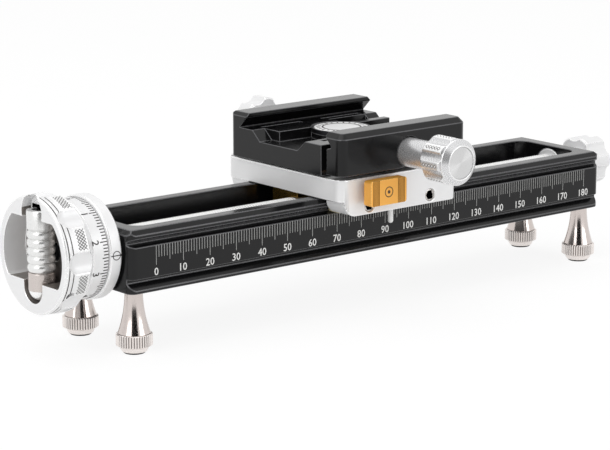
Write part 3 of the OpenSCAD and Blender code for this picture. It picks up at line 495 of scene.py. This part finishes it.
for name, side_x, side_y in FEET:
    place = at((side_x * FOOT_X, side_y * FOOT_Y, 0))
    shape = bmesh.new()
    spun(shape, foot_outline(), 40, place)
    shape.verts.layers.float.new("crest")
    ring = bmesh.new()
    crest_of = ring.verts.layers.float.new("crest")
    bmesh.ops.create_circle(ring, cap_ends=True, segments=RIBS * 2, radius=1.0)
    order = ring.verts[:]
    cap = ring.faces[:]
    for step, (z, crest, root) in enumerate(RING_LEVELS):
        if step:
            out = bmesh.ops.extrude_face_region(ring, geom=cap)["geom"]
            if step > 1:
                bmesh.ops.delete(ring, geom=cap, context="FACES_ONLY")
            cap = [g for g in out if isinstance(g, bmesh.types.BMFace)]
            order = verts_of(out)
        for i, v in enumerate(sorted(order, key=round_of)):
            turn = math.tau * i / (RIBS * 2)
            r = (crest if i % 2 else root) * MM
            # A rib's root gets 0 in the crest attribute, so that painted shade goes into it
            v[crest_of] = 0.0 if crest - root > 0.1 and i % 2 == 0 else 1.0
            v.co = Vector((r * math.cos(turn), r * math.sin(turn), z * MM))
    for face in ring.faces:
        face.material_index = 1
    bmesh.ops.recalc_face_normals(ring, faces=ring.faces)
    bmesh.ops.transform(ring, matrix=place, verts=ring.verts)
    add_part(shape, ring)
    spun(shape, STUD, 24, place)
    foot = piece_from(shape, "foot_" + name + "_turned", turned_steel, knurled_steel)
    settle(foot, "foot_" + name, replaced=True)

# Black nitrile rubber, moulded: dull, with a faint speckle
pad_rubber = surface("black_nitrile_rubber", "#1C1C1C", "#242424", 0.0, 0.75, 0.2, 0.01)
for name, side_x, side_y in FEET:
    shape = bmesh.new()
    spun(shape, PAD, 32, at((side_x * FOOT_X, side_y * FOOT_Y, 0)))
    settle(piece_from(shape, "pad_" + name + "_moulded", pad_rubber), "pad_" + name, replaced=True)

# ---------------------------------------------------------------- Bearings and lead screw
# A flanged brass bush and a clear-anodised boss carry the ground steel screw in the end walls.
# Its rolled thread has a pitch of 1 mm, and the bright crests stand a little above the core.
AXIS_Z = 12.0
silver_anodised = surface("clear_anodised_aluminium", "#F0F0F1", "#F6F6F6", 0.15, 0.36, 0.35,
                          0.002)
silver_edge = surface("clear_anodised_edge", "#F8F8F8", "#FDFDFD", 0.7, 0.26, 0.35, 0.001, 0.02)
turned_brass = surface("turned_brass", "#C59B4B", "#D0A95C", 1.0, 0.28, 0.2, 0.004)
rolled_steel = surface("rolled_bright_steel", "#F0F0EF", "#F8F8F7", 0.75, 0.22, 0.2, 0.001)
machined("left_bearing_bush", (turned_brass,), 0.2)
machined("right_bearing_boss", (silver_anodised, silver_edge), 0.2)

THREAD_PITCH = 1.0
THREAD_TURNS = 184
FIRST_TURNS = 23
THREAD_STEPS = 22
CORE_R = 3.85
CREST_R = 4.25
JOURNAL_R = 3.5
WHEEL_SEAT_R = 3.0
# Radius and distance along the axis: the wheel's seat, the left journal, the core and the end
SCREW = ((0, -110.4), (WHEEL_SEAT_R - 0.3, -110.4), (WHEEL_SEAT_R, -110.1),
         (WHEEL_SEAT_R, -100.2), (JOURNAL_R, -100.2), (JOURNAL_R, -92.9), (CORE_R, -92.8),
         (CORE_R, 92.8), (JOURNAL_R, 92.9), (JOURNAL_R, 95.9), (JOURNAL_R - 0.3, 96.2), (0, 96.2))
# The same for the ridge of the thread at its start
RIDGE = ((CORE_R - 0.05, 0), (CREST_R, 0.27), (CREST_R, 0.47), (CORE_R - 0.05, 0.74))
ALONG_X = at((0, 0, AXIS_Z), 90, "Y")
shape = bmesh.new()
spun(shape, SCREW, 36, ALONG_X)
ridge = bmesh.new()
start = -THREAD_TURNS * THREAD_PITCH / 2 - 0.4
line = [ridge.verts.new((r * MM, 0, (start + z) * MM)) for r, z in RIDGE]
edges = [ridge.edges.new((line[i], line[(i + 1) % 4])) for i in range(4)]
bmesh.ops.spin(ridge, geom=line + edges, cent=(0, 0, 0), axis=(0, 0, 1),
               dvec=(0, 0, THREAD_PITCH * MM / THREAD_STEPS),
               angle=math.tau * FIRST_TURNS, steps=FIRST_TURNS * THREAD_STEPS)
turns = FIRST_TURNS
while turns < THREAD_TURNS:
    more = bmesh.ops.duplicate(ridge, geom=ridge.verts[:] + ridge.edges[:] + ridge.faces[:])
    bmesh.ops.translate(ridge, vec=(0, 0, turns * THREAD_PITCH * MM),
                        verts=verts_of(more["geom"]))
    turns *= 2
bmesh.ops.remove_doubles(ridge, verts=ridge.verts, dist=MERGE)
bmesh.ops.holes_fill(ridge, edges=[e for e in ridge.edges if e.is_boundary], sides=4)
bmesh.ops.recalc_face_normals(ridge, faces=ridge.faces)
bmesh.ops.transform(ridge, matrix=ALONG_X, verts=ridge.verts)
add_part(shape, ridge)
settle(piece_from(shape, "lead_screw_threaded", rolled_steel), "lead_screw", replaced=True)

# ---------------------------------------------------------------- Index ring
# Fixed ring turned from aluminium, blasted and clear anodised, with two countersunk screws
# under the dial. Its mark is a printed circle with a line through it.
mark_ink = surface("black_printing_ink", "#262120", "#2E2928", 0.0, 0.55, 0.15, 0.002, shine=0.2)
black_steel = surface("black_oxide_steel", "#2B2B2E", "#343438", 0.85, 0.38, 0.2, 0.004)
machined("index_ring", (silver_anodised, silver_edge), 0.12)
machined("index_ring_screws", (black_steel,), 0.1)


def wrapped(origin, along, start, radius, angle=0.0):
    """Wraps a flat shape round an axis: its x runs round, its y along, its z outwards."""
    origin, along, start = Vector(origin) * MM, Vector(along), Vector(start)
    side = along.cross(start)

    def place(co):
        turn = co.x / (radius * MM) - math.radians(angle)
        return (origin + along * co.y
                + (start * math.cos(turn) + side * math.sin(turn)) * (radius * MM + co.z))
    return place


def on_drive(radius, angle, x):
    """A place on the drive's round faces: degrees above level on the ruled side."""
    return wrapped((x, 0, AXIS_Z), (1, 0, 0), (0, -1, 0), radius, angle)


def add_print(shape, place, low, high):
    """Adds a thin bar of ink between two flat corners in mm and wraps it into place."""
    part = bmesh.new()
    add_box(part, (*low, -INK), (*high, INK))
    for v in part.verts:
        v.co = place(v.co)
    add_part(shape, part)


def flat_ring(shape, outer, inner, segments, place):
    """Adds a flat ring of ink, its radii in mm, at a matrix or on a wrapped place."""
    part = bmesh.new()
    bmesh.ops.create_circle(part, segments=segments, radius=outer * MM)
    for v in verts_of(bmesh.ops.extrude_edge_only(part, edges=part.edges[:])["geom"]):
        v.co *= inner / outer
    lid = bmesh.ops.extrude_face_region(part, geom=part.faces[:])["geom"]
    bmesh.ops.translate(part, vec=(0, 0, 2 * INK * MM), verts=verts_of(lid))
    bmesh.ops.translate(part, verts=part.verts, vec=(0, 0, -INK * MM))
    for v in part.verts:
        v.co = place(v.co) if callable(place) else place @ v.co
    bmesh.ops.recalc_face_normals(part, faces=part.faces)
    add_part(shape, part)


INDEX_R = 15.9
INDEX_X = -101.2
INDEX_LINE = ((-0.15, -1.95), (0.15, 1.9))
INDEX_FOOT = ((-0.28, 1.3), (0.28, 1.9))
INDEX_CIRCLE = (1.42, 1.18)
place = on_drive(INDEX_R, 0, INDEX_X)
shape = bmesh.new()
add_print(shape, place, *INDEX_LINE)
add_print(shape, place, *INDEX_FOOT)
flat_ring(shape, *INDEX_CIRCLE, 28, place)
settle(piece_from(shape, "index_mark", mark_ink), "index_ring")

# ---------------------------------------------------------------- Dial
# Graduated ring of the same aluminium, pressed on the wheel's hub: a hundred divisions of a
# hundredth of a turn and a number at every tenth, printed dark.
DIAL_R = 15.3
DIAL_EDGE = -103.7
DIVISION = 3.6
NUMBER_STEP = 10 * DIVISION
ZERO_ANGLE = 89.0
DIAL_LINE = 0.15
LINE_LENGTH = {"one": 1.6, "five": 2.1, "ten": 2.5}
DIGIT_X = -107.75
DIGIT_HEIGHT = 2.3
DIGIT_BOLD = 0.03
machined("dial_ring", (silver_anodised, silver_edge), 0.1)
shape = bmesh.new()
for mark in range(100):
    add_print(shape, on_drive(DIAL_R, ZERO_ANGLE - mark * DIVISION, DIAL_EDGE),
              (-DIAL_LINE, -LINE_LENGTH[rank(mark)]), (DIAL_LINE, 0))
settle(piece_from(shape, "dial_lines", mark_ink), "dial_ring")
shape = bmesh.new()
for digit in range(10):
    add_text(shape, str(digit), DIGIT_HEIGHT,
             on_drive(DIAL_R, ZERO_ANGLE - NUMBER_STEP * digit, DIGIT_X), DIGIT_BOLD)
settle(piece_from(shape, "dial_numbers", mark_ink), "dial_ring")

# ---------------------------------------------------------------- Hand wheel
# Turned, milled and blasted aluminium: eight finger flutes, two fine grooves behind the front
# edge, a diamond knurl on the lands, and a deep opening for the folded crank.
WHEEL_R = 17.8
LANDS = 8
LAND_STEP = 360 / LANDS
FIRST_LAND = 67.5
GROOVES = (-119.0, -117.5)
GROOVE_MOUTH = 0.272
GROOVE_DEPTH = 0.3
KNURL_BACK = -111.9
KNURL_FRONT = -116.0
KNURL_WIDE = 7.2
KNURL_CELLS = (14, 7)
# A knurl's crests and pits stand this far above the land, and its underside lies this deep
KNURL_CREST = 0.2
KNURL_PIT = 0.02
KNURL_ROOT = -0.12
knurl_silver = surface("knurled_clear_anodised_aluminium", "#F0F0F0", "#F6F6F6", 0.4, 0.40,
                       0.35, 0.002)
# The knurl's pits get painted shade
darken_low(knurl_silver, "#2E2A29", "#F4F4F4")


def add_knurl(shape, place, wide, long, cols, rows):
    """Adds a closed patch of diamond knurl, wide by long in mm, centred on a wrapped place."""
    if shape.verts.layers.float.get("crest") is None:
        shape.verts.layers.float.new("crest")
    part = bmesh.new()
    top_crest = part.verts.layers.float.new("crest")
    bmesh.ops.create_grid(part, x_segments=cols, y_segments=rows, size=0.5)
    raised = bmesh.ops.extrude_face_region(part, geom=part.faces[:])["geom"]
    top = set(verts_of(raised))
    lid = [g for g in raised if isinstance(g, bmesh.types.BMFace)]
    high = {}
    for v in part.verts:
        i, j = round((v.co.x + 0.5) * cols), round((v.co.y + 0.5) * rows)
        edge = i in (0, cols) or j in (0, rows)
        high[v] = v in top and (i + j) % 2 == 0 and not edge
        # Pits get 0 in the crest attribute, so that painted shade goes into them
        v[top_crest] = 1.0 if high[v] or (v in top and edge) else 0.0
        lift = KNURL_CREST if high[v] else KNURL_PIT if v in top else KNURL_ROOT
        v.co = Vector((v.co.x * wide * MM, v.co.y * long * MM, lift * MM))
    for face in lid:
        low = [v for v in face.verts if not high[v]]
        if len(low) == 3:
            peak = next(v for v in face.verts if high[v])
            low = [v for v in low if not any(peak in e.verts for e in v.link_edges
                                             if e in face.edges)] + [peak]
        if len(low) == 2 and not any(set(e.verts) == set(low) for e in face.edges):
            bmesh.utils.face_split(face, low[0], low[1])
    for v in part.verts:
        v.co = place(v.co)
    bmesh.ops.recalc_face_normals(part, faces=part.faces)
    add_part(shape, part)


def cut(piece, tool):
    """Cuts the tool's closed shape out of a piece and drops the tool."""
    hole = piece.modifiers.new("cut", "BOOLEAN")
    hole.operation = "DIFFERENCE"
    hole.solver = "EXACT"
    hole.object = tool
    result = bpy.data.meshes.new_from_object(
        piece.evaluated_get(bpy.context.evaluated_depsgraph_get()))
    piece.modifiers.clear()
    old, tool_mesh = piece.data, tool.data
    piece.data = result
    bpy.data.objects.remove(tool)
    bpy.data.meshes.remove(old)
    bpy.data.meshes.remove(tool_mesh)
    result.shade_smooth()
    result.set_sharp_from_angle(angle=SMOOTH_UP_TO)


# The pocket's faces are painted a darker, warmer grey than the outside: painted shade in the deep
# opening
pocket_shade = surface("aluminium_with_painted_pocket_shade", "#8F8985", "#A09A95", 0.7, 0.36, 0.3, 0.003)
# Tool marks in a narrow groove are deep in shade
groove_shade = surface("aluminium_in_a_groove", "#3A3735", "#484441", 0.5, 0.45, 0.3, 0.003)
POCKET_R = 14.6
POCKET_X = (-120.1, -109.3)
GROOVE_SLOT = 2
POCKET_SLOT = 3
shape = solid_of("hand_wheel")
for face in shape.faces:
    middle = face.calc_center_median() / MM
    within = POCKET_X[0] < middle.x < POCKET_X[1]
    inside = math.hypot(middle.y, middle.z - AXIS_Z) < POCKET_R and within
    face.material_index = POCKET_SLOT if inside else 0
wheel = piece_from(shape, "hand_wheel_finished", silver_anodised, silver_edge, groove_shade,
                   pocket_shade)
tool = bmesh.new()
for groove in GROOVES:
    root = (WHEEL_R - GROOVE_DEPTH, groove)
    spun(tool, [root, (WHEEL_R + 0.2, groove - GROOVE_MOUTH),
                (WHEEL_R + 0.2, groove + GROOVE_MOUTH), root], 96, ALONG_X)
for face in tool.faces:
    face.material_index = GROOVE_SLOT
cut(wheel, piece_from(tool, "groove_tool"))
break_edges(wheel, 0.16, EDGE_SLOT)
spare_edges(wheel, GROOVE_SLOT)
settle(wheel, "hand_wheel", replaced=True)
shape = bmesh.new()
for land in range(LANDS):
    place = on_drive(WHEEL_R, FIRST_LAND + LAND_STEP * land, (KNURL_FRONT + KNURL_BACK) / 2)
    add_knurl(shape, place, KNURL_WIDE, KNURL_BACK - KNURL_FRONT, *KNURL_CELLS)
settle(piece_from(shape, "hand_wheel_knurl", knurl_silver), "hand_wheel")
machined("wheel_screw", (black_steel,), 0.1)

# ---------------------------------------------------------------- Folding crank
# A steel collar with a ball end turns on a pin through the wheel's rim. It carries a ribbed
# aluminium grip, which runs free on a shoulder screw in its end bore.
satin_steel = surface("satin_turned_steel", "#C9C0BB", "#D6CECA", 0.95, 0.28, 0.2, 0.001, 0.03)
machined("crank_pivot_pin", (black_steel,), 0.15)
BALL_TOP = 1.25
shape = solid_of("crank_arm")
for face in shape.faces:
    face.material_index = 1 if face.calc_center_median().z < BALL_TOP * MM else 0
arm = piece_from(shape, "crank_arm_finished", satin_steel, silver_edge)
break_edges(arm, 0.1)
settle(arm, "crank_arm", replaced=True)
# The grip is turned with a fine feed and polished before it is anodised. Its five round ribs
# stand close together, with narrow grooves between them.
polished_silver = surface("polished_anodised_aluminium", "#E6E6E5", "#EFEFEE", 0.75, 0.26, 0.2,
                          0.0005, 0.02)
GRIP_PLACE = (-117.0, 0, 6.9)
GRIP_LENGTH = 18.6
GRIP_R = 4.2
GROOVE_R = 3.75
GRIP_RIBS = 5
GRIP_RIB_PITCH = 2.5
RIB_STEPS = 12
RIB_SWELL = 0.49
RIB_FULLNESS = 2.6
BORE_R = 1.56
HEAD_BORE_R = 2.5
HEAD_SEAT = 15.6
outline = [(BORE_R, 0), (3.5, 0)]
for step in range(GRIP_RIBS * RIB_STEPS + 1):
    u = (step % RIB_STEPS) / (RIB_STEPS / 2) - 1
    outline.append((GROOVE_R + RIB_SWELL * (1 - abs(u) ** RIB_FULLNESS),
                    0.05 + GRIP_RIB_PITCH * step / RIB_STEPS))
outline += [(GROOVE_R + 0.1, 12.75), (GRIP_R, 13.1), (GRIP_R, GRIP_LENGTH - 0.35),
            (GRIP_R - 0.1, GRIP_LENGTH - 0.1), (GRIP_R - 0.35, GRIP_LENGTH),
            (HEAD_BORE_R + 0.1, GRIP_LENGTH), (HEAD_BORE_R, GRIP_LENGTH - 0.1),
            (HEAD_BORE_R, HEAD_SEAT), (BORE_R, HEAD_SEAT), (BORE_R, 0)]
shape = bmesh.new()
spun(shape, outline, 64, at(GRIP_PLACE))
settle(piece_from(shape, "crank_grip_turned", polished_silver), "crank_grip", replaced=True)
machined("crank_grip_screw", (black_steel,), 0.1)

# ---------------------------------------------------------------- Drive lock knob
# Aluminium knob with plain lobes on a steel stud in the right boss. A bright disc with fine
# rings from the lathe closes its end, and a brass plug inside brakes the screw.
def brushed_round(name, axis):
    """Aluminium with fine lathe rings round one axis, which stretch highlights into wedges."""
    made = surface(name, "#CFCFCF", "#D7D7D7", 1.0, 0.24, 0.2, 0.0005, 0.03)
    tree = made.node_tree
    skin = skin_of(made)
    rings = add_node(tree, "Tangent", direction_type="RADIAL", axis=axis)
    skin.inputs["Anisotropic"].default_value = 0.9
    tree.links.new(rings.outputs["Tangent"], skin.inputs["Tangent"])
    return made


spun_along_x = brushed_round("spun_aluminium_along_x", "X")
spun_along_y = brushed_round("spun_aluminium_along_y", "Y")
DISC_THICK = 0.6
LATHE_RINGS = 14
RING_DEPTH = 0.012


def spun_disc(name, node, radius, place, material):
    """A disc whose outer face, at the local z of its thickness, has rings from the lathe."""
    outline = [(0, 0), (radius - 0.1, 0), (radius, 0.1), (radius, DISC_THICK - 0.1),
               (radius - 0.12, DISC_THICK)]
    for i in range(LATHE_RINGS):
        r = (radius - 0.15) * (1 - (i + 0.5) / LATHE_RINGS)
        outline += [(r + 0.06, DISC_THICK - RING_DEPTH), (r - 0.06, DISC_THICK)]
    outline.append((0, DISC_THICK))
    shape = bmesh.new()
    spun(shape, outline, 60, place)
    settle(piece_from(shape, name, material), node, replaced=True)


LOCK_DISC_R = 5.6
LOCK_DISC_X = 114.4
machined("drive_lock_knob", (silver_anodised, silver_edge), 0.1)
spun_disc("drive_lock_disc", "drive_lock_cap", LOCK_DISC_R, at((LOCK_DISC_X, 0, AXIS_Z), 90, "Y"),
          spun_along_x)
carried("drive_lock_stud", satin_steel)
carried("drive_lock_plug", turned_brass)

# ---------------------------------------------------------------- Carriage
# Milled aluminium plate with aprons over the rail's sides, blasted and clear anodised. Two hex
# set screws press a gib strip into the V groove, and a white pin points at the ruler.
gib_acetal = surface("natural_acetal", "#D8CBA6", "#E0D5B4", 0.0, 0.5, 0.3, 0.004)
washer_acetal = surface("black_acetal", "#222224", "#2A2A2C", 0.0, 0.5, 0.3, 0.004)
bright_steel = surface("bright_steel", "#C9C5C1", "#D6D2CE", 0.9, 0.28, 0.2, 0.002)
pointer_paint = surface("white_painted_pin", "#EFEFEE", "#F6F6F5", 0.0, 0.45, 0.3, 0.003)
machined("carriage_plate", (silver_anodised, silver_edge), 0.2)
machined("front_gib", (gib_acetal,), 0.1)
machined("rear_gib", (gib_acetal,), 0.1)
machined("gib_set_screws", (bright_steel,), 0.15)
# Each hex socket has a drilled floor of its own, nearer to the mouth than the CAD model's
socket_steel = surface("drilled_steel", "#B4B0AC", "#C0BCB8", 0.2, 0.5, 0.3, 0.004)
SOCKET_R = 1.42
SOCKET_X = (-13.9, 11.5)
SOCKET_END = -26.15
SOCKET_Z = 17.15
FLOOR_THICK = 1.2
shape = bmesh.new()
for x in SOCKET_X:
    spun(shape, [(0, 0), (SOCKET_R, 0), (SOCKET_R, FLOOR_THICK), (0, FLOOR_THICK)], 6,
         at((x, SOCKET_END, SOCKET_Z), 90, "X"))
settle(piece_from(shape, "set_screw_sockets", socket_steel), "gib_set_screws")
machined("index_pointer", (pointer_paint,), 0.08)
machined("pan_slip_washer", (washer_acetal,), 0.1)

# ---------------------------------------------------------------- Release button and half nut
# Gold anodised button with two fields of fine upright ribs and a plain middle, on a flat bar
# that carries the brass half nut over the lead screw.
gold_anodised = surface("gold_anodised_aluminium", "#F9B24A", "#FBB855", 0.25, 0.38, 0.3, 0.003)
# The deburred edges are painted a lighter gold, a painted highlight
gold_edge_highlight = surface("gold_anodised_edge_painted_highlight", "#FFC76A", "#FFD080", 0.5, 0.28, 0.3, 0.003)
button_ink = surface("brown_printing_ink", "#4A3418", "#553C1E", 0.0, 0.5, 0.15, 0.002)
BUTTON_FACE = -33.7
BUTTON_X = (-18.0, -3.3)
BUTTON_Z = (17.9, 25.9)
RIB_FIELDS = ((-17.0, -14.6), (-6.8, -4.3))
SLOT_PITCH = 0.48
SLOT_HALF = 0.13
SLOT_DEPTH = 0.28
SLOT_FACES = 2
# The milled slots between the ribs are painted a darker gold: painted shade in the narrow slots
gold_slot_shade = surface("gold_anodised_slot_painted_shade", "#8F5F1E", "#9D6A26", 0.3, 0.45, 0.3, 0.003)
button = piece_from(solid_of("release_button"), "release_button_finished", gold_anodised,
                    gold_edge_highlight, gold_slot_shade)
tool = bmesh.new()
for low, high in RIB_FIELDS:
    count = int((high - low) / SLOT_PITCH)
    for i in range(count + 1):
        x = low + (high - low) * i / count
        add_box(tool, (x - SLOT_HALF, BUTTON_FACE - 0.5, BUTTON_Z[0] - 0.5),
                (x + SLOT_HALF, BUTTON_FACE + SLOT_DEPTH, BUTTON_Z[1] + 0.5))
for face in tool.faces:
    face.material_index = SLOT_FACES
cut(button, piece_from(tool, "rib_tool"))
break_edges(button, 0.1, EDGE_SLOT)
spare_edges(button, SLOT_FACES)
settle(button, "release_button", replaced=True)
# The press mark is a plain ring with a dot
PRESS_RING = (1.7, 1.4)
PRESS_DOT = (0.55, 0.05)
press = at((sum(BUTTON_X) / 2, BUTTON_FACE, sum(BUTTON_Z) / 2), 90, "X")
shape = bmesh.new()
flat_ring(shape, *PRESS_RING, 32, press)
flat_ring(shape, *PRESS_DOT, 20, press)
settle(piece_from(shape, "press_mark", button_ink), "release_button")
machined("release_bar", (turned_brass,), 0.15)
machined("half_nut", (turned_brass,), 0.15)
machined("half_nut_screws", (black_steel,), 0.08)

# ---------------------------------------------------------------- Panning clamp
# Milled black clamp base with its fixed jaw, which pans on a post in the carriage. The post's
# pale disc shows in a dark ring in the seat, held by a screw from below.
machined("clamp_base", (black_anodised, black_edge_highlight), 0.2)
machined("pan_bearing_ring", (black_steel,), 0.1)
machined("pan_pivot_post", (silver_anodised, silver_edge), 0.12)
machined("pan_pivot_screw", (black_steel,), 0.1)

PAN_X = -1.2
DISC_TOP = 36.6
DISC_RING = (6.4, 5.9)
DISC_TICKS = 24
TICK_HALF = 0.25
TICK_FROM = 7.0
TICK_TO = 8.0
LONG_TICK_TO = 8.4
shape = bmesh.new()
flat_ring(shape, *DISC_RING, 48, at((PAN_X, 0, DISC_TOP)))
for tick in range(DISC_TICKS):
    end = TICK_TO if tick % 3 else LONG_TICK_TO
    add_box(shape, (-TICK_HALF, TICK_FROM, -INK), (TICK_HALF, end, INK),
            at((PAN_X, 0, DISC_TOP), 360 * tick / DISC_TICKS))
settle(piece_from(shape, "pan_disc_marks", mark_ink), "pan_pivot_post")

# ---------------------------------------------------------------- Moving jaw
# Milled black jaw that slides on two ground guide pins and is pulled in by the clamp knob.
machined("clamp_jaw", (black_anodised, black_edge_highlight), 0.2)
machined("jaw_guide_pins", (bright_steel,), 0.1)

# ---------------------------------------------------------------- Clamp knob
# Turned aluminium knob with eight flutes, a diamond knurl on the lands between them, a stepped
# lip and a bright spun disc in its end, on a steel screw.
KNOB_X = 0.4
KNOB_Z = 32.65
KNOB_R = 7.35
KNOB_KNURL = (-43.9, -51.4)
KNOB_KNURL_WIDE = 2.2
KNOB_KNURL_CELLS = (4, 12)
KNOB_LAND = 6.5
KNOB_DISC_R = 5.0
KNOB_DISC_Y = -53.6
# The clamp knob is turned bright, so that it mirrors the dark jaw and rail
turned_silver = surface("bright_turned_aluminium", "#D6D6D7", "#E0E0E1", 0.65, 0.27, 0.3,
                        0.001, 0.03)
knob_knurl = surface("knurled_bright_aluminium", "#DADADA", "#E4E4E4", 0.7, 0.32, 0.3, 0.001)
# The knurl's pits get painted shade
darken_low(knob_knurl, "#55514F", "#F4F4F4")
machined("clamp_knob", (turned_silver, silver_edge), 0.12)
shape = bmesh.new()
for land in range(LANDS):
    place = wrapped((KNOB_X, sum(KNOB_KNURL) / 2, KNOB_Z), (0, -1, 0), (1, 0, 0), KNOB_R,
                    -KNOB_LAND - LAND_STEP * land)
    add_knurl(shape, place, KNOB_KNURL_WIDE, KNOB_KNURL[0] - KNOB_KNURL[1],
              *KNOB_KNURL_CELLS)
settle(piece_from(shape, "clamp_knob_knurl", knob_knurl), "clamp_knob")
spun_disc("clamp_knob_disc", "clamp_knob_cap", KNOB_DISC_R,
          at((KNOB_X, KNOB_DISC_Y, KNOB_Z), 90, "X"), spun_along_y)
carried("clamp_screw", satin_steel)

# ---------------------------------------------------------------- Pan lock knob
# A shorter knob with six plain lobes behind the clamp, on a longer hub. Its screw pushes a
# brass shoe against the post.
PAN_DISC_Y = 44.2
machined("pan_lock_knob", (silver_anodised, silver_edge), 0.1)
spun_disc("pan_lock_disc", "pan_lock_cap", KNOB_DISC_R, at((PAN_X, PAN_DISC_Y, KNOB_Z), -90, "X"),
          spun_along_y)
carried("pan_lock_screw", satin_steel)
carried("pan_lock_shoe", turned_brass)
